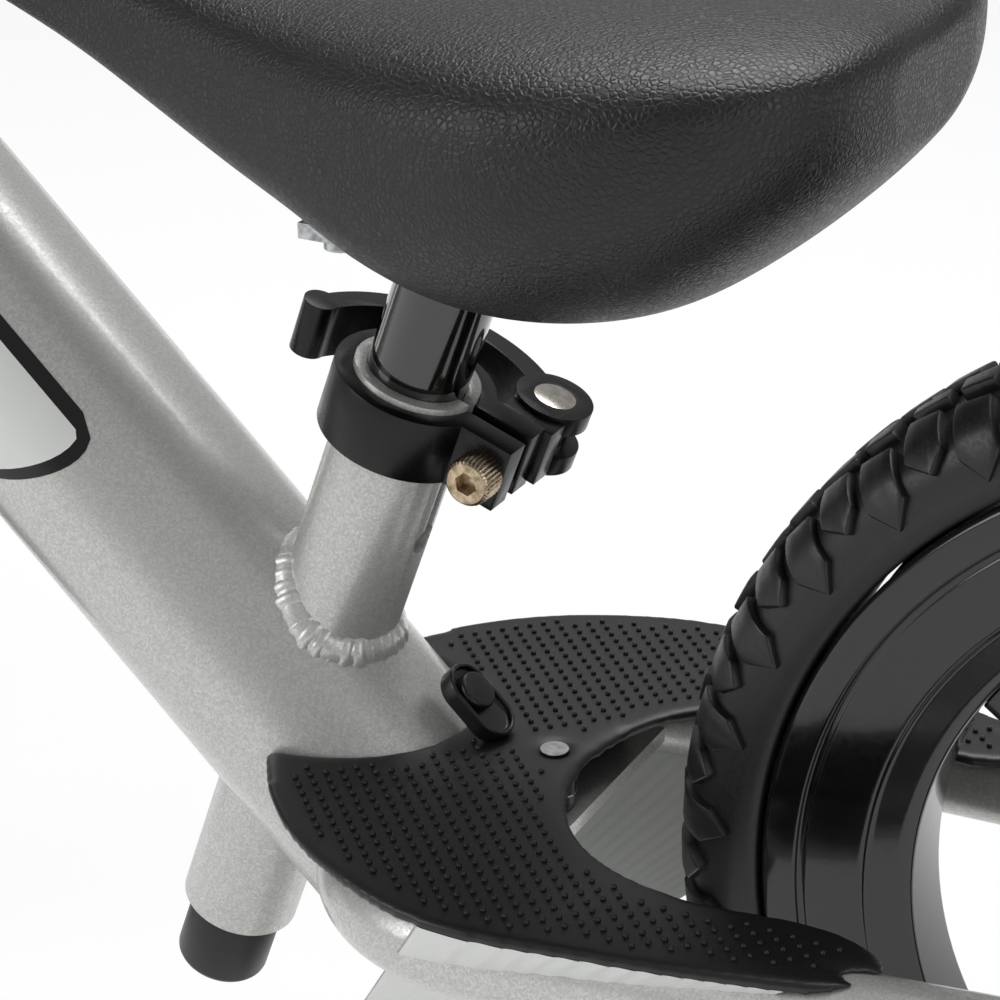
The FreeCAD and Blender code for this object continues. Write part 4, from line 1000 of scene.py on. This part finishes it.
def make_grip(name, sign, node):
    at = BAR_TOP @ Matrix.Translation((0, 0, BAR_Z)) @ Matrix.Rotation(-math.pi / 2 * sign, 4, "X")
    profile = [(11.2, 97.2), (17.2, 97.2), (17.4, 100), (14.4, 102)]
    start = 104
    for rib in range(15):
        middle = start + 3 + rib * 6.2
        profile += [(13.5, middle - 2.4), (14.5, middle - 1.2), (14.5, middle + 1.2), (13.5, middle + 2.4)]
    profile += [(14.4, 200), (19.6, 204), (20, 208), (19.2, 212), (14, 214.4), (0.01, 214.6), (0.01, 210.2),
                (11.2, 210.2)]
    grip = turned(name, profile, at, 64, 0.7)
    dress(grip, GRIP, "grip_rubber", "bar", node)


make_grip("left_ribbed_grip", 1, "left_grip")
make_grip("right_ribbed_grip", -1, "right_grip")

# %% Pad cover
def woven(name, base, light):
    """Woven polyester: thread spacing 0.9 mm, drawn coarser than the real 0.4 mm so it shows."""
    material, tree, skin, place = new_material(name, base, 0.0, 0.75, Sheen_Weight=0.3)
    waves = []
    for turn in ((0, 0, 0), (0, math.pi / 2, 0)):
        at = add_node(tree, "ShaderNodeMapping", {"Rotation": turn}, {"Vector": place})
        waves.append(add_node(tree, "ShaderNodeTexWave", {"Scale": 1 / (5.6 * 0.9 * MM), "Distortion": 0.4},
                              {"Vector": at.outputs["Vector"]}, bands_direction="Z").outputs["Fac"])
    cross = add_node(tree, "ShaderNodeMath", {}, {0: waves[0], 1: waves[1]}, operation="MULTIPLY").outputs[0]
    tree.links.new(tone(tree, cross, base, light), skin.inputs["Base Color"])
    relief(tree, skin, cross, 0.15)
    return material


COVER = woven("woven_pad_cover", "#0c0c0d", "#1d1d1f")


def make_pad():
    at = BAR_TOP @ Matrix.Translation((0, 0, BAR_Z)) @ Matrix.Rotation(-math.pi / 2, 4, "X")
    rows, steps = 48, 48

    def position(i, j):
        share = i / rows
        y = -74 + 148 * share
        crown = (1 - abs(2 * share - 1) ** 5) ** 0.5
        angle = math.tau * j / steps
        pucker = 0.35 * math.sin(angle * 9) * (1 - crown)
        radius = 13.5 + 8 * crown + pucker - 0.8 * math.exp(-((angle - math.pi * 1.5) / 0.12) ** 2)
        return at @ Vector((radius * math.cos(angle), radius * math.sin(angle), y))
    pad = wrap("padded_bar_cover", rows, steps, position, caps=True)
    dress(pad, COVER, "pad_foam", "bar", "bar_pad")


make_pad()

# %% [markdown]
# ## The remaining hard parts
# Tubes, plates, cups, nuts and axles keep their CAD form. Those with exposed machined edges are
# copied and softened; plain tubes are shown as they are, with their real finish.

# %% Softened plates and nuts
SOFT_EDGES = [
    # node, new name, edge in millimetres, material, slot, body
    ("fork_crown", "forged_crown", 1.6, SILVER, "silver_paint", "fork"),
    ("left_rear_dropout", "left_axle_plate", 0.7, SILVER, "silver_paint", "frame"),
    ("right_rear_dropout", "right_axle_plate", 0.7, SILVER, "silver_paint", "frame"),
    ("left_fork_dropout", "left_fork_plate", 0.7, SILVER, "silver_paint", "fork"),
    ("right_fork_dropout", "right_fork_plate", 0.7, SILVER, "silver_paint", "fork"),
    ("stay_bridge", "stay_gusset", 0.6, SILVER, "silver_paint", "frame"),
    ("rear_axle_nuts", "rear_hex_nuts", 0.5, ZINC, "bright_steel", "frame"),
    ("front_axle_nuts", "front_hex_nuts", 0.5, ZINC, "bright_steel", "fork"),
    ("rear_axle", "rear_threaded_axle", 0.4, ZINC, "bright_steel", "frame"),
    ("front_axle", "front_threaded_axle", 0.4, ZINC, "bright_steel", "fork"),
    ("headset_cap", "headset_top_cap", 0.8, ANODISED, "black_anodised", "fork"),
    ("headset_lower_cup", "lower_bearing_cup", 0.5, ANODISED, "black_anodised", "frame"),
    ("headset_upper_cup", "upper_bearing_cup", 0.5, ANODISED, "black_anodised", "frame"),
    ("seat_post_plug", "post_end_cap", 0.9, CAP, "core_plastic", "seat"),
    ("seat_post_plate", "saddle_flange", 0.6, ZINC, "bright_steel", "seat"),
    ("seat_tube", "slotted_seat_tube", 0.5, SILVER, "silver_paint", "frame"),
]
for node, name, edge, material, slot_name, body in SOFT_EDGES:
    dress(softened(node, name, edge), material, slot_name, body, node)

# %% Carried-over CAD nodes
PLAIN = {
    "main_tube": SILVER, "head_tube": SILVER, "left_stay": SILVER, "right_stay": SILVER,
    "left_fork_leg": SILVER, "right_fork_leg": SILVER, "seat_post": ENAMEL, "handlebar_post": ENAMEL,
    "handlebar": ENAMEL, "steerer": ZINC, "footrest_screw": ZINC, "saddle_bolts": ZINC,
    "rear_spacers": ANODISED, "front_spacers": ANODISED, "rear_hub_bearings": ZINC,
    "front_hub_bearings": ZINC, "headset_lower_bearing": ZINC, "headset_upper_bearing": ZINC}
for node, material in PLAIN.items():
    obj = NODES[node]
    obj.data.materials.clear()
    obj.data.materials.append(material)
print("carried nodes", len(PLAIN))

# %% [markdown]
# ## Studio
# The floor is pale and reads as pure white to the camera, yet it keeps a soft shadow, because a
# quarter of its look is still plain lit paint. Large soft lamps stand over and beside the bike:
# one behind it for the light along the tube tops, one on the left as the key, one low fill.

# %% Floor and backdrop
def pale_floor():
    material = bpy.data.materials.new("studio_floor")
    material.use_nodes = True
    tree = material.node_tree
    tree.nodes.clear()
    paint = add_node(tree, "ShaderNodeBsdfDiffuse", {"Color": linear("#f4f4f4")})
    glow = add_node(tree, "ShaderNodeEmission", {"Color": (1, 1, 1, 1), "Strength": 1.0})
    path = add_node(tree, "ShaderNodeLightPath")
    seen = add_node(tree, "ShaderNodeMath", {}, {0: path.outputs["Is Camera Ray"],
                                                 1: path.outputs["Is Glossy Ray"]}, operation="MAXIMUM")
    share = add_node(tree, "ShaderNodeMath", {1: 0.8}, {0: seen.outputs[0]}, operation="MULTIPLY")
    mixed = add_node(tree, "ShaderNodeMixShader", {}, {0: share.outputs[0], 1: paint.outputs[0],
                                                       2: glow.outputs[0]})
    add_node(tree, "ShaderNodeOutputMaterial", {}, {"Surface": mixed.outputs[0]})
    return material


clear()
bpy.ops.mesh.primitive_plane_add(size=12, location=(0, 0, -0.0005))
floor = bpy.context.object
floor.name = "studio_floor"
floor.data.materials.append(pale_floor())
floor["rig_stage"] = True

world = bpy.data.worlds.new("studio")
bpy.context.scene.world = world
world.use_nodes = True
tree = world.node_tree
tree.nodes.clear()
path = add_node(tree, "ShaderNodeLightPath")
seen = add_node(tree, "ShaderNodeMath", {}, {0: path.outputs["Is Camera Ray"],
                                             1: path.outputs["Is Transmission Ray"]}, operation="MAXIMUM")
strength = add_node(tree, "ShaderNodeMapRange", {"To Min": 0.34, "To Max": 1.0}, {"Value": seen.outputs[0]})
sky = add_node(tree, "ShaderNodeBackground", {"Color": (1, 1, 1, 1)}, {"Strength": strength.outputs["Result"]})
add_node(tree, "ShaderNodeOutputWorld", {}, {"Surface": sky.outputs[0]})

# %% Lamps
def soft_lamp(name, place, aim, width, height, watts):
    data = bpy.data.lights.new(name, "AREA")
    data.shape = "RECTANGLE"
    data.size, data.size_y, data.energy = width, height, watts
    lamp = bpy.data.objects.new(name, data)
    lamp.location = place
    lamp.rotation_euler = (Vector(aim) - Vector(place)).to_track_quat("-Z", "Y").to_euler()
    bpy.context.scene.collection.objects.link(lamp)


soft_lamp("top_softbox", (-0.1, -0.5, 1.5), (0, 0, 0.2), 1.4, 0.9, 21)
soft_lamp("left_key", (1.1, 1.2, 0.9), (0, 0, 0.2), 0.9, 0.9, 9)
soft_lamp("rear_fill", (-1.4, 0.5, 0.7), (0, 0, 0.2), 0.8, 0.8, 3)
bpy.context.scene.view_settings.view_transform = "Standard"
print("studio ready")

# %% Bounding boxes of the CAD model and the finished scene
def corners(box):
    return [[float(c) for c in corner] for corner in box]


{"cad": corners(CAD_BOX), "visual": corners(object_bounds())}
print("visual box", corners(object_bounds()))
